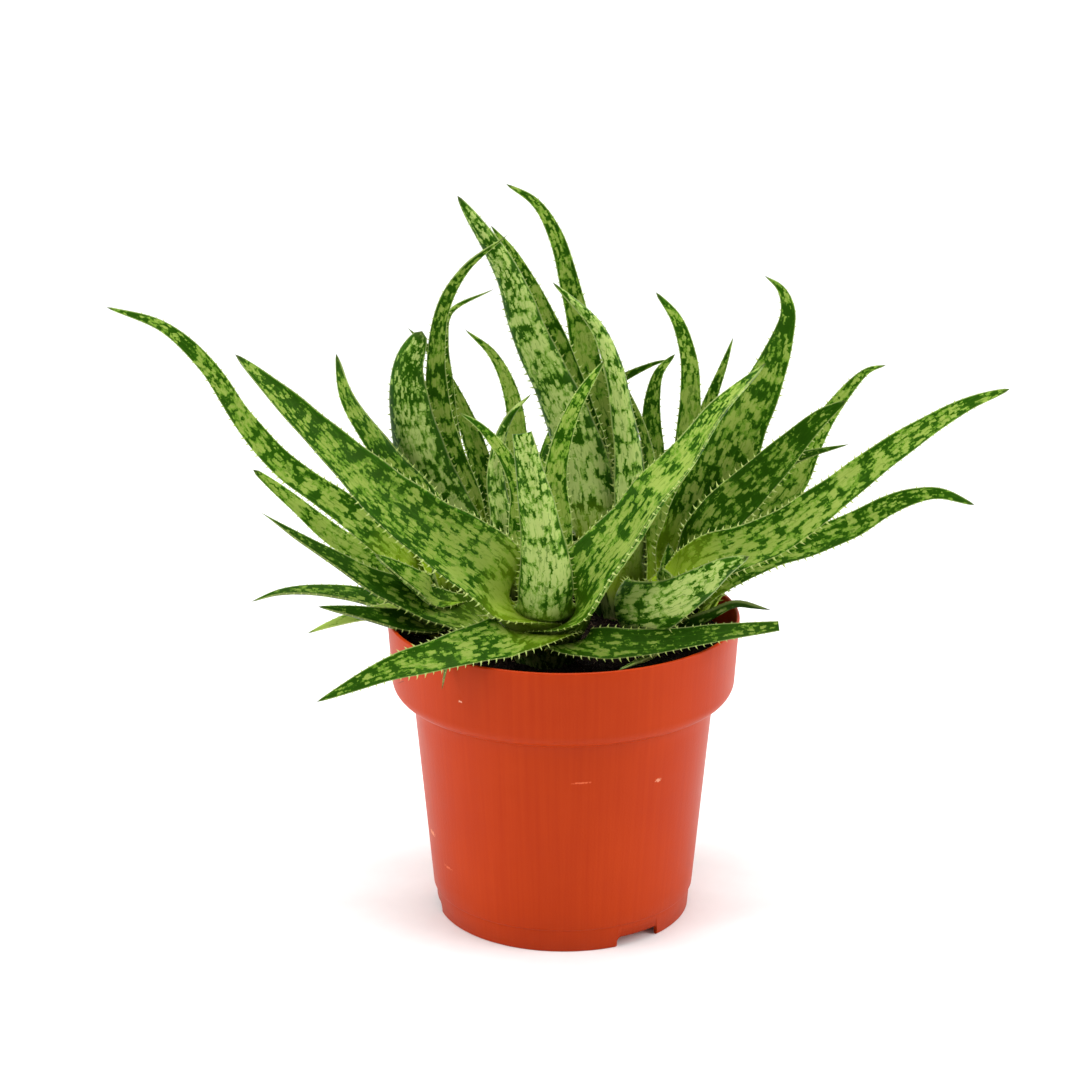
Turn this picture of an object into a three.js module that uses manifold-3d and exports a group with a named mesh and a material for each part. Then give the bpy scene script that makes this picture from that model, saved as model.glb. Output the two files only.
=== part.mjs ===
// A clump of five aloe offsets in a round moulded nursery pot, for three.js and manifold-3d.
// Millimetres, +Z up, the origin on the surface under the middle of the pot, front towards -Y.

import * as THREE from 'three';
import { mergeVertices } from 'three/addons/utils/BufferGeometryUtils.js';
import Module from 'manifold-3d';

const wasm = await Module();
wasm.setup();

const UP = new THREE.Vector3(0, 0, 1);

// ---- driving dimensions -------------------------------------------------------------------

const GAP = 0.35; // clearance between neighbouring solids

const POT_RIM_RADIUS = 60;
const POT_HEIGHT = 106;
const POT_WALL = 1.2;
const POT_SEGMENTS = 36;
const COLLAR_BOTTOM = 78.5; // the stacking collar reaches from here to the rim
const COLLAR_RADIUS = 58.6; // outside, just above its rounded lower edge
const BODY_TOP_RADIUS = 51.8; // outside, where the wall goes up under the collar
const BODY_BOTTOM_RADIUS = 45.0;
const FOOT_HEIGHT = 8;
const FOOT_RADIUS = 43.8;
const FLOOR_HEIGHT = 4.6; // top face of the pot's floor
const FLOOR_WALL = 1.4;
const PAD_RADIUS = 10; // the floor's middle is dished down to the surface
const NOTCH_HEIGHT = 3.7; // three water notches in the foot
const NOTCH_WIDTH = 17;
const NOTCH_ANGLES = [-54, 66, 186]; // degrees from +X
const DRAIN_RADIUS = 4;
const DRAIN_CIRCLE = 30;
const DRAIN_COUNT = 6;

const SOIL_LEVEL = 96; // at the wall
const SOIL_CROWN = 97.5; // in the middle

const STEM_RADIUS = 6.4;
const STEM_DEPTH = 9; // how far a stem stands in the soil
const STEM_SIDES = 12;

const ROOT_WIDTH = 7.5; // where a leaf sits on its stem
const RING_STEP = 13.5; // length of leaf between two sections
const TIP_CROWDING = 1.2; // sections lie closer together towards the tip
const LEAF_THICKNESS = 3.8; // in the middle of the base
const TIP_THICKNESS = 1.3;
const MARGIN_THICKNESS = 1.0;
const TOOTH_HEIGHT = 1.4;
const TOOTH_BASE = 1.6;

const COLOURS = { pot: 0xc9512f, soil: 0x2a211c, stem: 0x9aa33c, leaf: 0x6f9440 };

// ---- small helpers ------------------------------------------------------------------------

function material(colour, roughness) {
  return new THREE.MeshStandardMaterial({ color: colour, roughness, metalness: 0 });
}

const POTTED = material(COLOURS.pot, 0.42);
const PEAT = material(COLOURS.soil, 0.95);
const STALK = material(COLOURS.stem, 0.6);
const BLADE = material(COLOURS.leaf, 0.5);

function named(name, geometry, finish) {
  const mesh = new THREE.Mesh(geometry, finish);
  mesh.name = name;
  return mesh;
}

function toManifold(geometry) {
  const bare = geometry.clone();
  bare.deleteAttribute('normal');
  bare.deleteAttribute('uv');
  const merged = mergeVertices(bare, 1e-4);
  const vertProperties = new Float32Array(merged.attributes.position.array);
  const triVerts = new Uint32Array(merged.index.array);
  return new wasm.Manifold(new wasm.Mesh({ numProp: 3, vertProperties, triVerts }));
}

function toGeometry(manifold) {
  const mesh = manifold.getMesh();
  const geometry = new THREE.BufferGeometry();
  geometry.setAttribute('position', new THREE.BufferAttribute(mesh.vertProperties, 3));
  geometry.setIndex(new THREE.BufferAttribute(mesh.triVerts, 1));
  return geometry;
}

function turned(profile, segments) {
  const points = profile.map(([radius, height]) => new THREE.Vector2(radius, height));
  const lathe = new THREE.LatheGeometry(points, segments);
  return lathe.rotateX(Math.PI / 2);
}

function upright(radius, height, sides) {
  return new THREE.CylinderGeometry(radius, radius, height, sides).rotateX(Math.PI / 2);
}

// ---- pot: one moulded shell ---------------------------------------------------------------

function arc(centreRadius, centreHeight, size, fromDegrees, toDegrees, steps) {
  const points = [];
  for (let step = 0; step <= steps; step += 1) {
    const angle = THREE.MathUtils.degToRad(fromDegrees + (toDegrees - fromDegrees) * step / steps);
    points.push([centreRadius + size * Math.cos(angle), centreHeight + size * Math.sin(angle)]);
  }
  return points;
}

const SHOULDER = 5.4; // radius of the collar's rounded lower edge
const BODY_INSIDE_TOP = BODY_TOP_RADIUS - POT_WALL;
const BODY_INSIDE_BOTTOM = BODY_BOTTOM_RADIUS - POT_WALL;
const COLLAR_INSIDE = COLLAR_RADIUS - POT_WALL;
const STEP_INSIDE = COLLAR_BOTTOM + POT_WALL; // ledge inside, above the collar's lower edge

function potProfile() {
  const half = POT_WALL / 2;
  return [
    [0, FLOOR_WALL],
    [PAD_RADIUS - 0.6, FLOOR_WALL],
    [PAD_RADIUS + 1.4, FLOOR_HEIGHT],
    [BODY_INSIDE_BOTTOM - 0.4, FLOOR_HEIGHT],
    [BODY_INSIDE_TOP, STEP_INSIDE],
    ...arc(COLLAR_INSIDE - SHOULDER + POT_WALL, STEP_INSIDE + SHOULDER - POT_WALL,
      SHOULDER - POT_WALL, -90, 0, 2),
    ...arc(POT_RIM_RADIUS - half, POT_HEIGHT - half, half, 180, 0, 3),
    ...arc(COLLAR_RADIUS - SHOULDER, COLLAR_BOTTOM + SHOULDER, SHOULDER, 0, -90, 3),
    [BODY_TOP_RADIUS, COLLAR_BOTTOM],
    [BODY_BOTTOM_RADIUS, FOOT_HEIGHT + 0.5],
    [FOOT_RADIUS + 0.6, FOOT_HEIGHT],
    [FOOT_RADIUS, 0],
    [FOOT_RADIUS - 1.6, 0],
    [FOOT_RADIUS - 1.6, FLOOR_HEIGHT - FLOOR_WALL],
    [PAD_RADIUS + 2, FLOOR_HEIGHT - FLOOR_WALL],
    [PAD_RADIUS, 0],
    [0, 0],
  ].reverse();
}

function potMesh() {
  let pot = toManifold(turned(potProfile(), POT_SEGMENTS));
  for (const degrees of NOTCH_ANGLES) {
    const notch = new THREE.BoxGeometry(8, NOTCH_WIDTH, 2 * NOTCH_HEIGHT);
    notch.translate(FOOT_RADIUS, 0, 0).rotateZ(THREE.MathUtils.degToRad(degrees));
    pot = pot.subtract(toManifold(notch));
  }
  for (let hole = 0; hole < DRAIN_COUNT; hole += 1) {
    const drain = upright(DRAIN_RADIUS, 4 * FLOOR_HEIGHT, 10);
    drain.translate(DRAIN_CIRCLE, 0, 0).rotateZ(2 * Math.PI * hole / DRAIN_COUNT);
    pot = pot.subtract(toManifold(drain));
  }
  return named('pot', toGeometry(pot), POTTED);
}

// ---- crowns: short stems standing in the soil ---------------------------------------------

const CROWNS = {
  front: { x: -6, y: -18, top: 122 },
  right: { x: 38, y: 0, top: 132 },
  left: { x: -38, y: 2, top: 123 },
  middle: { x: 20, y: 24, top: 125 },
  back: { x: -24, y: 26, top: 124 },
};

function stemBlank(crown, radius, bottom, top) {
  const shoulder = 0.7 * radius;
  const profile = [[0, bottom], [radius, bottom], [radius, top - 4], [shoulder, top], [0, top]];
  return turned(profile, STEM_SIDES).translate(crown.x, crown.y, 0);
}

function stemMesh(name, crown) {
  const bottom = SOIL_LEVEL - STEM_DEPTH;
  return named(`stem_${name}`, stemBlank(crown, STEM_RADIUS, bottom, crown.top), STALK);
}

// ---- soil: fills the pot, with a plain hole round each stem -------------------------------

function soilMesh() {
  const profile = [
    [0, FLOOR_WALL + GAP],
    [PAD_RADIUS - 0.8, FLOOR_WALL + GAP],
    [PAD_RADIUS + 1.1, FLOOR_HEIGHT + GAP],
    [BODY_INSIDE_BOTTOM - 0.4 - GAP, FLOOR_HEIGHT + GAP],
    [BODY_INSIDE_TOP - GAP, STEP_INSIDE + GAP],
    [COLLAR_INSIDE - SHOULDER + POT_WALL, STEP_INSIDE + GAP],
    [COLLAR_INSIDE - 2 - GAP, STEP_INSIDE + 1.3 + GAP],
    [COLLAR_INSIDE - GAP, STEP_INSIDE + SHOULDER - POT_WALL],
    [COLLAR_INSIDE - GAP, SOIL_LEVEL],
    [0, SOIL_CROWN],
  ];
  let soil = toManifold(turned(profile, POT_SEGMENTS));
  for (const crown of Object.values(CROWNS)) {
    const bottom = SOIL_LEVEL - STEM_DEPTH - GAP;
    const hole = stemBlank(crown, STEM_RADIUS + GAP, bottom, crown.top + GAP);
    soil = soil.subtract(toManifold(hole));
  }
  return named('soil', toGeometry(soil), PEAT);
}

// ---- leaves -------------------------------------------------------------------------------
// Each leaf: the stem that carries it, the height of its root there, its full width, how far
// its upper face is turned to the front at the root and at the tip (degrees), and the points
// that its midrib goes through, the last one its tip.

const LEAVES = [
  // left offset
  ['left_long', 'left', 110.5, 17, [40, 50],
    [[-56, 7, 123], [-74, 11, 138], [-96, 14, 155], [-121, 17, 193], [-135, 18, 204], [-154, 18, 208]]],
  ['left_shaded', 'left', 105, 10, [30, 40], [[-53, 17, 116], [-77, 22, 127], [-106, 26, 147]]],
  ['left_wide', 'left', 106.5, 16, [30, 40], [[-62, -11, 120], [-75, -15, 130], [-98, -22, 147]]],
  ['left_flat', 'left', 102, 7, [0, 0], [[-52, 0, 107], [-72, -5, 114], [-85, -8, 117], [-105, -10, 114]]],
  ['left_short', 'left', 104.5, 7, [0, 0], [[-45, -17, 107], [-60, -26, 112], [-72, -31, 116], [-81, -34, 119]]],
  ['left_low', 'left', 100, 6, [0, 0], [[-51, -9, 107], [-60, -16, 109.5], [-70, -20, 109], [-85, -24, 107]]],
  ['left_steep', 'left', 117, 16, [60, 70],
    [[-46, 15, 139], [-61, 16, 159], [-73, 17, 177], [-77, 18, 192]], { taper: 0.65 }],
  ['left_bud', 'left', 114, 5, [20, 20], [[-48, -8, 123], [-56, -11, 128], [-63, -13, 131]]],
  ['left_rear', 'left', 100, 9, [0, 0], [[-46, 23, 109], [-58, 42, 115], [-72, 54, 109]]],
  // back offset
  ['back_broad', 'back', 106, 22, [-54, -54],
    [[-37, 18, 126], [-44, 19, 142], [-50, 19, 159], [-53, 20, 175], [-53, 21, 187], [-48, 22, 199]],
    { taper: 0.4 }],
  ['back_arched', 'back', 115, 11, [75, 75],
    [[-34, 26, 138], [-42, 28, 164], [-44, 29, 182], [-40, 30, 205], [-34, 31, 215], [-20, 34, 227]]],
  ['back_hidden', 'back', 112, 11, [20, 20],
    [[-25, 37, 131], [-31, 40, 155], [-36, 41, 168], [-47, 42, 188], [-54, 43, 195]]],
  ['back_thin', 'back', 105, 5, [60, 60],
    [[-33, 32, 129], [-38, 34, 157], [-40, 35, 178], [-41, 36, 192], [-39, 37, 202], [-24, 38, 210]]],
  ['back_narrow', 'back', 118, 11, [50, 50],
    [[-17, 30, 142], [-17, 30, 171], [-24, 32, 188], [-34, 33, 197]]],
  ['back_inner', 'back', 118, 9, [8, 0],
    [[-21, 10, 136], [-23, 12, 149], [-22, 12, 162], [-18, 13, 172], [-11, 15, 179]]],
  ['back_rear', 'back', 100.5, 13, [0, 0], [[-26, 48, 113], [-34, 73, 129], [-41, 98, 127]]],
  ['back_side', 'back', 99.5, 12, [0, 0], [[-43, 35, 112], [-64, 49, 126], [-88, 59, 125]]],
  ['back_upright', 'back', 107, 10, [0, 0], [[-10, 42, 131], [-3, 56, 155], [6, 71, 165]]],
  // middle offset
  ['middle_tall', 'middle', 115.5, 21, [-45, -62],
    [[9, 18, 137], [7, 20, 149], [-1, 23, 173], [-12, 25, 196], [-22, 27, 219], [-36, 29, 244]],
    { taper: 0.6 }],
  ['middle_second', 'middle', 119, 16, [65, 65],
    [[9, 30, 146], [6, 34, 164], [-4, 35, 196], [-16, 37, 222], [-25, 38, 232]]],
  ['middle_high', 'middle', 109.5, 16, [20, 27],
    [[16, 38, 151], [10, 40, 176], [3, 42, 207], [-3, 43, 228], [-10, 44, 239], [-20, 45, 245]]],
  ['middle_front', 'middle', 109, 15, [-6, 0],
    [[23, 12, 138], [22, 15, 159], [20, 16, 171], [17, 17, 187], [11, 20, 201], [-4, 22, 216]],
    { taper: 0.65 }],
  ['middle_arched', 'middle', 102, 8, [30, 30],
    [[3, 40, 133], [4, 47, 153], [14, 49, 171], [30, 51, 180], [38, 52, 182]]],
  ['middle_right', 'middle', 107, 10, [35, 35],
    [[33, 34, 150], [30, 39, 175], [34, 41, 184], [39, 43, 187]], { taper: 0.6 }],
  ['middle_dark', 'middle', 118, 7, [75, 75], [[28, 21, 138], [30, 25, 148], [28, 29, 160], [19, 33, 182]]],
  ['middle_rear', 'middle', 99.5, 14, [0, 0], [[19, 48, 113], [20, 74, 129], [22, 102, 122]]],
  ['middle_side', 'middle', 101, 12, [0, 0], [[43, 38, 117], [60, 55, 130], [80, 72, 124]]],

  // front offset
  ['front_left', 'front', 112, 28, [65, 65],
    [[-23, -30, 128], [-43, -37, 144], [-58, -42, 158], [-72, -46, 174], [-86, -49, 190], [-103, -51, 209]]],
  ['front_right', 'front', 111, 24, [65, 65],
    [[9, -27, 129], [22, -31, 145], [30, -32, 158], [40, -31, 170], [50, -29, 185], [65, -25, 200]],
    { taper: 0.7 }],
  ['front_cut', 'front', 105, 18, [0, 0],
    [[-4, -37, 117], [-5, -44, 131], [-7, -50, 146], [-9, -53, 161], [-11, -54, 180]], { cut: 0.8 }],
  ['front_inner', 'front', 116, 8, [35, 35],
    [[-2, -12, 141], [-3, -9, 154], [-1, -6, 167], [5, -1, 185], [12, 2, 193]], { taper: 0.5 }],
  ['front_rear', 'front', 114, 9, [50, 50],
    [[-14, -10, 140], [-19, -6, 159], [-22, -4, 164], [-35, 1, 176]]],
  ['front_trailing', 'front', 100, 14, [30, 40],
    [[-17, -42, 109], [-30, -51, 111], [-43, -58, 110], [-55, -62, 108], [-79, -65, 98]]],
  ['front_broken', 'front', 101, 11, [30, 30],
    [[19, -30, 106], [32, -33, 108], [45, -34, 110], [71, -36, 115]], { cut: 0.85 }],
  // right offset
  ['right_long', 'right', 108, 20, [50, 55],
    [[58, -14, 132], [72, -15, 139], [85, -16, 149], [109, -17, 169], [131, -18, 184], [145, -19, 190]],
    { taper: 0.65 }],
  ['right_lower', 'right', 99.5, 13, [55, 65],
    [[59, 1, 112.5], [72, 6, 120], [84, 10, 127], [96, 12, 135], [108, 13, 142], [120, 14, 147], [139, 16, 142]]],
  ['right_dark', 'right', 121, 17, [65, 65],
    [[52, 5, 138], [61, 7, 147], [70, 8, 156], [86, 10, 172], [95, 11, 178]], { taper: 0.6 }],
  ['right_pale', 'right', 107.5, 15, [55, 60],
    [[53, 13, 117], [63, 18, 129], [78, 21, 147], [84, 23, 159], [90, 25, 169], [103, 27, 184], [110, 28, 186]]],
  ['right_hooked', 'right', 115, 19, [40, 50],
    [[49, 13, 133], [55, 15, 150], [67, 17, 170], [72, 19, 194], [72, 19, 206], [66, 19, 218]],
    { taper: 0.5 }],
  ['right_bud', 'right', 127, 4, [20, 20], [[56, -1, 142], [75, -1, 161], [87, -3, 167], [93, -5, 168]]],
  ['right_bulging', 'right', 103, 22, [0, 0], [[28, -20, 112], [40, -31, 115], [51, -38, 126], [59, -42, 141]]],
  ['right_upper', 'right', 111.5, 11, [0, 0],
    [[33.5, 18, 134], [41, 27, 150], [43, 28, 180], [42, 28, 190], [38, 28, 202], [31, 29, 211]],
    { taper: 0.55 }],
  ['right_spare', 'right', 104.5, 8, [10, 10], [[41, 30, 137], [49, 33, 168], [55, 34, 185], [58, 35, 194]]],
  ['right_small', 'right', 101, 5, [0, 0], [[43, -11, 107], [55, -11, 112], [69, -12, 111]]],
  ['right_rear', 'right', 99.5, 10, [0, 0], [[46, 25, 109], [64, 44, 118], [82, 56, 110]]],
];

const LEAF_DISH = 0.3; // how far the margins stand above the midrib, by half width
const TAPER = 0.75; // how fast a leaf narrows, 1 being straight-sided
const FULL_WIDTH_REACH = 0.8; // share of a leaf, from its tip, over which it narrows
const TWIST_LENGTH = 24; // a leaf turns over this length from its root
const ROOT_LEAN = 1.2; // how much further out the root of a leaf that rises straight up stands
const CUT_PLACE = 0.98; // share of a cut leaf at which its last full section stands
const CLASP_LENGTH = 23; // the narrow stretch where a leaf leaves its stem

function widthAt(leaf, s) {
  const left = (1 - s * leaf.cut) / FULL_WIDTH_REACH;
  const body = leaf.width * Math.min(1, left) ** leaf.taper;
  const opening = THREE.MathUtils.smoothstep(s * leaf.length, 0, CLASP_LENGTH);
  return THREE.MathUtils.lerp(Math.min(ROOT_WIDTH, 0.7 * leaf.width), body, opening);
}

function thicknessAt(leaf, s) {
  const root = Math.min(LEAF_THICKNESS, 1.6 + 0.25 * leaf.width);
  return THREE.MathUtils.lerp(root, TIP_THICKNESS, s ** 1.2);
}

// A leaf's root stands GAP off the round side of its stem, its end square to the midrib.
function rootPoint(crown, height, next) {
  const out = new THREE.Vector3(next.x - crown.x, next.y - crown.y, 0).normalize();
  const along = new THREE.Vector3(next.x - crown.x, next.y - crown.y, next.z - height).normalize();
  const seat = STEM_RADIUS + GAP + ROOT_LEAN * Math.abs(along.z);
  return new THREE.Vector3(crown.x, crown.y, height).addScaledVector(out, seat);
}

function makeLeaf([name, crownName, height, width, turn, path, options = {}]) {
  const crown = CROWNS[crownName];
  const points = path.map((point) => new THREE.Vector3(...point));
  const root = rootPoint(crown, height, points[0]);
  const curve = new THREE.CatmullRomCurve3([root, ...points], false, 'centripetal');
  const length = curve.getLength();
  return { name: `leaf_${name}`, crown, width, turn, curve, length, taper: TAPER, cut: 1, ...options };
}

// A leaf cut off blunt has its last full section right at the cut.
function cutPlace(ring, count) {
  return Math.min(1, CUT_PLACE * ring / (count - 1));
}

// Frames along the midrib: tangent, upper face and side, carried on without twist, then turned.
function framesAlong(leaf, count) {
  const frames = [];
  const start = leaf.curve.getPointAt(0);
  const inward = new THREE.Vector3(leaf.crown.x - start.x, leaf.crown.y - start.y, 0).normalize();
  let face = inward.add(UP).normalize();
  let toFront = 0;
  for (let ring = 0; ring <= count; ring += 1) {
    const s = leaf.cut < 1 ? cutPlace(ring, count) : 1 - (1 - ring / count) ** TIP_CROWDING;
    const point = leaf.curve.getPointAt(s);
    const tangent = leaf.curve.getTangentAt(s).normalize();
    face = face.clone().addScaledVector(tangent, -face.dot(tangent)).normalize();
    const side = new THREE.Vector3().crossVectors(tangent, face);
    if (ring === 0) toFront = side.y < 0 ? 1 : -1;
    const twist = THREE.MathUtils.smoothstep(s * leaf.length, 0, TWIST_LENGTH);
    const degrees = twist * THREE.MathUtils.lerp(leaf.turn[0], leaf.turn[1], s);
    const angle = THREE.MathUtils.degToRad(degrees);
    const normal = face.clone().multiplyScalar(Math.cos(angle));
    normal.addScaledVector(side, toFront * Math.sin(angle));
    const across = new THREE.Vector3().crossVectors(tangent, normal);
    frames.push({ s, point, tangent, normal, across });
  }
  return frames;
}

// Section of eight points: the channelled upper face from one margin to the other, then the
// rounded lower face back. Each is [place across, share of the dish, thickness up or down].
const INNER = 0.45;
const SECTION = [
  [-1, 1, 'edge', 0.5], [-INNER, 0.2, 'body', 0.3], [INNER, 0.2, 'body', 0.3], [1, 1, 'edge', 0.5],
  [1, 1, 'edge', -0.5], [INNER, 0.2, 'body', -0.7], [-INNER, 0.2, 'body', -0.7], [-1, 1, 'edge', -0.5],
];

function sectionPoint(leaf, frame, [place, dish, kind, lift]) {
  const half = widthAt(leaf, frame.s) / 2;
  const thick = kind === 'edge' ? MARGIN_THICKNESS : thicknessAt(leaf, frame.s);
  const point = frame.point.clone().addScaledVector(frame.across, place * half);
  return point.addScaledVector(frame.normal, dish * LEAF_DISH * half + lift * thick);
}

// One tooth in the middle of a margin strip whose corners are given tipwards and round: its
// three-sided spike leans to the tip, and the strip is filled round it.
function tooth(positions, triangles, strip, outward) {
  const [rootTop, tipTop, tipLow, rootLow] = strip.map((index) => positions[index]);
  const middle = (a, b) => a.clone().add(b).multiplyScalar(0.5);
  const rootEnd = middle(rootTop, rootLow);
  const tipEnd = middle(tipTop, tipLow);
  const along = tipEnd.clone().sub(rootEnd).normalize();
  const rise = rootTop.clone().sub(rootLow).multiplyScalar(0.33);
  const centre = middle(rootEnd, tipEnd);
  const first = positions.length;
  positions.push(centre.clone().addScaledVector(along, -TOOTH_BASE / 2));
  positions.push(centre.clone().addScaledVector(along, TOOTH_BASE / 2).add(rise));
  positions.push(centre.clone().addScaledVector(along, TOOTH_BASE / 2).sub(rise));
  const apex = centre.clone().addScaledVector(along, TOOTH_BASE * 0.55);
  positions.push(apex.addScaledVector(outward, TOOTH_HEIGHT));
  const [a, b, c, d] = strip;
  const [back, top, low, peak] = [first, first + 1, first + 2, first + 3];
  triangles.push([a, back, d], [a, b, top], [a, top, back], [b, c, low], [b, low, top]);
  triangles.push([c, d, low], [d, back, low]);
  triangles.push([back, top, peak], [top, low, peak], [low, back, peak]);
}

function leafGeometry(leaf) {
  const rings = Math.max(4, Math.round(leaf.length / RING_STEP));
  const frames = framesAlong(leaf, rings);
  const positions = [];
  const triangles = [];
  const size = SECTION.length;
  for (const frame of frames.slice(0, -1)) {
    for (const corner of SECTION) positions.push(sectionPoint(leaf, frame, corner));
  }
  const tip = positions.length;
  positions.push(frames[rings].point);
  for (let ring = 0; ring < rings - 1; ring += 1) {
    for (let side = 0; side < size; side += 1) {
      const a = ring * size + side;
      const b = ring * size + (side + 1) % size;
      const isMargin = side === 3 || side === 7;
      if (isMargin && ring > 0) {
        const sign = side === 3 ? 1 : -1;
        const outward = frames[ring].across.clone().multiplyScalar(sign);
        tooth(positions, triangles, [b, b + size, a + size, a], outward);
      } else {
        triangles.push([a, b, a + size], [b, b + size, a + size]);
      }
    }
  }
  const last = (rings - 1) * size;
  for (let side = 0; side < size; side += 1) {
    triangles.push([last + side, last + (side + 1) % size, tip]);
  }
  for (let side = 1; side < size - 1; side += 1) triangles.push([0, side + 1, side]);
  const geometry = new THREE.BufferGeometry().setFromPoints(positions);
  geometry.setIndex(triangles.flat());
  return geometry;
}

// ---- assembly -----------------------------------------------------------------------------

const plant = new THREE.Group();
plant.name = 'potted_aloe';
plant.add(potMesh());
plant.add(soilMesh());
for (const [name, crown] of Object.entries(CROWNS)) plant.add(stemMesh(name, crown));
for (const row of LEAVES) {
  const leaf = makeLeaf(row);
  plant.add(named(leaf.name, leafGeometry(leaf), BLADE));
}

export default plant;
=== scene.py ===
import math
import random

import bpy
import numpy as np
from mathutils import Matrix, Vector


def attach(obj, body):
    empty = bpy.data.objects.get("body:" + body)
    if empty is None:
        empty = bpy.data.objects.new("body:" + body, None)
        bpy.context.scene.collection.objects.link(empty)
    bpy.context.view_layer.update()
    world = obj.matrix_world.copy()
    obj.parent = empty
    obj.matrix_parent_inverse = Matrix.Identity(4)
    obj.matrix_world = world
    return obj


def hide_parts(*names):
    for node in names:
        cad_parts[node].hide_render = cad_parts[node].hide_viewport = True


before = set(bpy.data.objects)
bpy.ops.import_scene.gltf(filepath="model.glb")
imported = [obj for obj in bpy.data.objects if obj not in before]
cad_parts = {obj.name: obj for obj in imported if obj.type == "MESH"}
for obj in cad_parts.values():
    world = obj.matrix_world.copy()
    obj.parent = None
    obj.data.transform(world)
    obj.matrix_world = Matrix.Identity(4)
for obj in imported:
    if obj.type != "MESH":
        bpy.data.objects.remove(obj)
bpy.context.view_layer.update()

MM = 0.001

# ---- camera -------------------------------------------------------------------------------
# Stands about 0.93 m in front of the pot, higher than the leaves, and looks down on them
# through a long lens.

CAMERA_PLACE = (0, -0.9297, 0.4284)
LOOKS_DOWN = 17.686      # degrees below level
LOOKS_LEFT = 0.492       # degrees to the left of straight ahead
FOCAL_LENGTH = 96.27
FILM_WIDTH = 36

view = bpy.data.cameras.new("studio camera")
view.sensor_fit = "HORIZONTAL"
view.sensor_width = FILM_WIDTH
view.lens = FOCAL_LENGTH
view.clip_start = 0.05
view.clip_end = 20
camera = bpy.data.objects.new("studio camera", view)
camera.location = CAMERA_PLACE
camera.rotation_euler = (math.radians(90 - LOOKS_DOWN), 0, math.radians(LOOKS_LEFT))
bpy.context.scene.collection.objects.link(camera)
bpy.context.scene.camera = camera

# ---- studio -------------------------------------------------------------------------------
# A pale sweep of background paper that lies flat under the pot and turns up behind it, lit by
# soft boxes overhead, at both sides, weakly in front and on the paper behind, and by the even
# light of a white room.


def linear(hex_colour):
    """An sRGB colour such as #a12e03 as the linear red, green, blue and alpha of a socket."""
    parts = [int(hex_colour[i:i + 2], 16) / 255 for i in (1, 3, 5)]
    return [p / 12.92 if p <= 0.04045 else ((p + 0.055) / 1.055) ** 2.4 for p in parts] + [1.0]


def give(tree, node, inputs):
    """Fills a node's inputs, by name or as a list in their order. Each one gets a value, a colour
    such as "#a12e03", another node's output, or another node, for its first output in use."""
    for key, value in inputs.items() if isinstance(inputs, dict) else enumerate(inputs):
        if isinstance(value, bpy.types.Node):
            value = next(output for output in value.outputs if output.enabled)
        if isinstance(value, str) and value.startswith("#"):
            value = linear(value)
        if isinstance(value, bpy.types.NodeSocket):
            tree.links.new(value, node.inputs[key])
        else:
            node.inputs[key].default_value = value


NODE_FAMILIES = ("ShaderNode", "GeometryNode", "FunctionNode", "Node")


def add(tree, kind, inputs=(), **settings):
    """Adds a node with its settings and its inputs. A map range lists its value, the two ends
    that the value comes from and the two ends that it goes to."""
    family = next(family for family in NODE_FAMILIES if hasattr(bpy.types, family + kind))
    made = tree.nodes.new(family + kind)
    for name, value in settings.items():
        setattr(made, name, value)
    give(tree, made, inputs)
    return made


def finish_material(name):
    """A new material with its shader and output, and its tree."""
    made = bpy.data.materials.new(name)
    made.use_nodes = True
    tree = made.node_tree
    tree.nodes.clear()
    shader = add(tree, "BsdfPrincipled")
    add(tree, "OutputMaterial", [shader])
    return made, tree, shader


def mesh_object(name, verts, faces, smooth=True):
    mesh = bpy.data.meshes.new(name)
    mesh.from_pydata([tuple(v) for v in verts], [], [tuple(f) for f in faces])
    mesh.polygons.foreach_set("use_smooth", [smooth] * len(mesh.polygons))
    mesh.update()
    made = bpy.data.objects.new(name, mesh)
    bpy.context.scene.collection.objects.link(made)
    return made


# Background paper is matt and nearly white; its faint mottle is paper grain, drawn 8 mm coarse.
PAPER_GRAIN = 8          # mm
paper, tree, shader = finish_material("background paper")
place = add(tree, "TexCoord").outputs["Object"]
grain = add(tree, "TexNoise", {"Vector": place, "Scale": 1 / (PAPER_GRAIN * MM), "Detail": 2.0})
tint = add(tree, "Mix", {"Factor": grain, "A": "#f4f4f4", "B": "#f9f9f9"}, data_type="RGBA")
give(tree, shader, {"Base Color": tint, "Roughness": 0.9, "Specular IOR Level": 0.2})

SWEEP_WIDTH = 3.2
SWEEP_FRONT = -1.4
SWEEP_BACK = 1.1
SWEEP_RADIUS = 0.5
SWEEP_TOP = 2.2
SWEEP_STEPS = 16
outline = [(SWEEP_FRONT, 0.0), (0.0, 0.0), (SWEEP_BACK, 0.0)]
for step in range(1, SWEEP_STEPS + 1):
    angle = math.radians(90 * step / SWEEP_STEPS)
    outline.append((SWEEP_BACK + SWEEP_RADIUS * math.sin(angle), SWEEP_RADIUS * (1 - math.cos(angle))))
outline.append((SWEEP_BACK + SWEEP_RADIUS, SWEEP_TOP))
sweep_verts = [(side * SWEEP_WIDTH / 2, y, z) for y, z in outline for side in (-1, 1)]
sweep_faces = [(2 * i, 2 * i + 1, 2 * i + 3, 2 * i + 2) for i in range(len(outline) - 1)]
sweep = mesh_object("background sweep", sweep_verts, sweep_faces)
sweep.data.materials.append(paper)

ROOM_LIGHT = 0.32
room = bpy.data.worlds.new("white room")
room.use_nodes = True
give(room.node_tree, room.node_tree.nodes["Background"], {"Color": "#ffffff", "Strength": ROOM_LIGHT})
bpy.context.scene.world = room
bpy.context.scene.view_settings.view_transform = "Standard"

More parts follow.
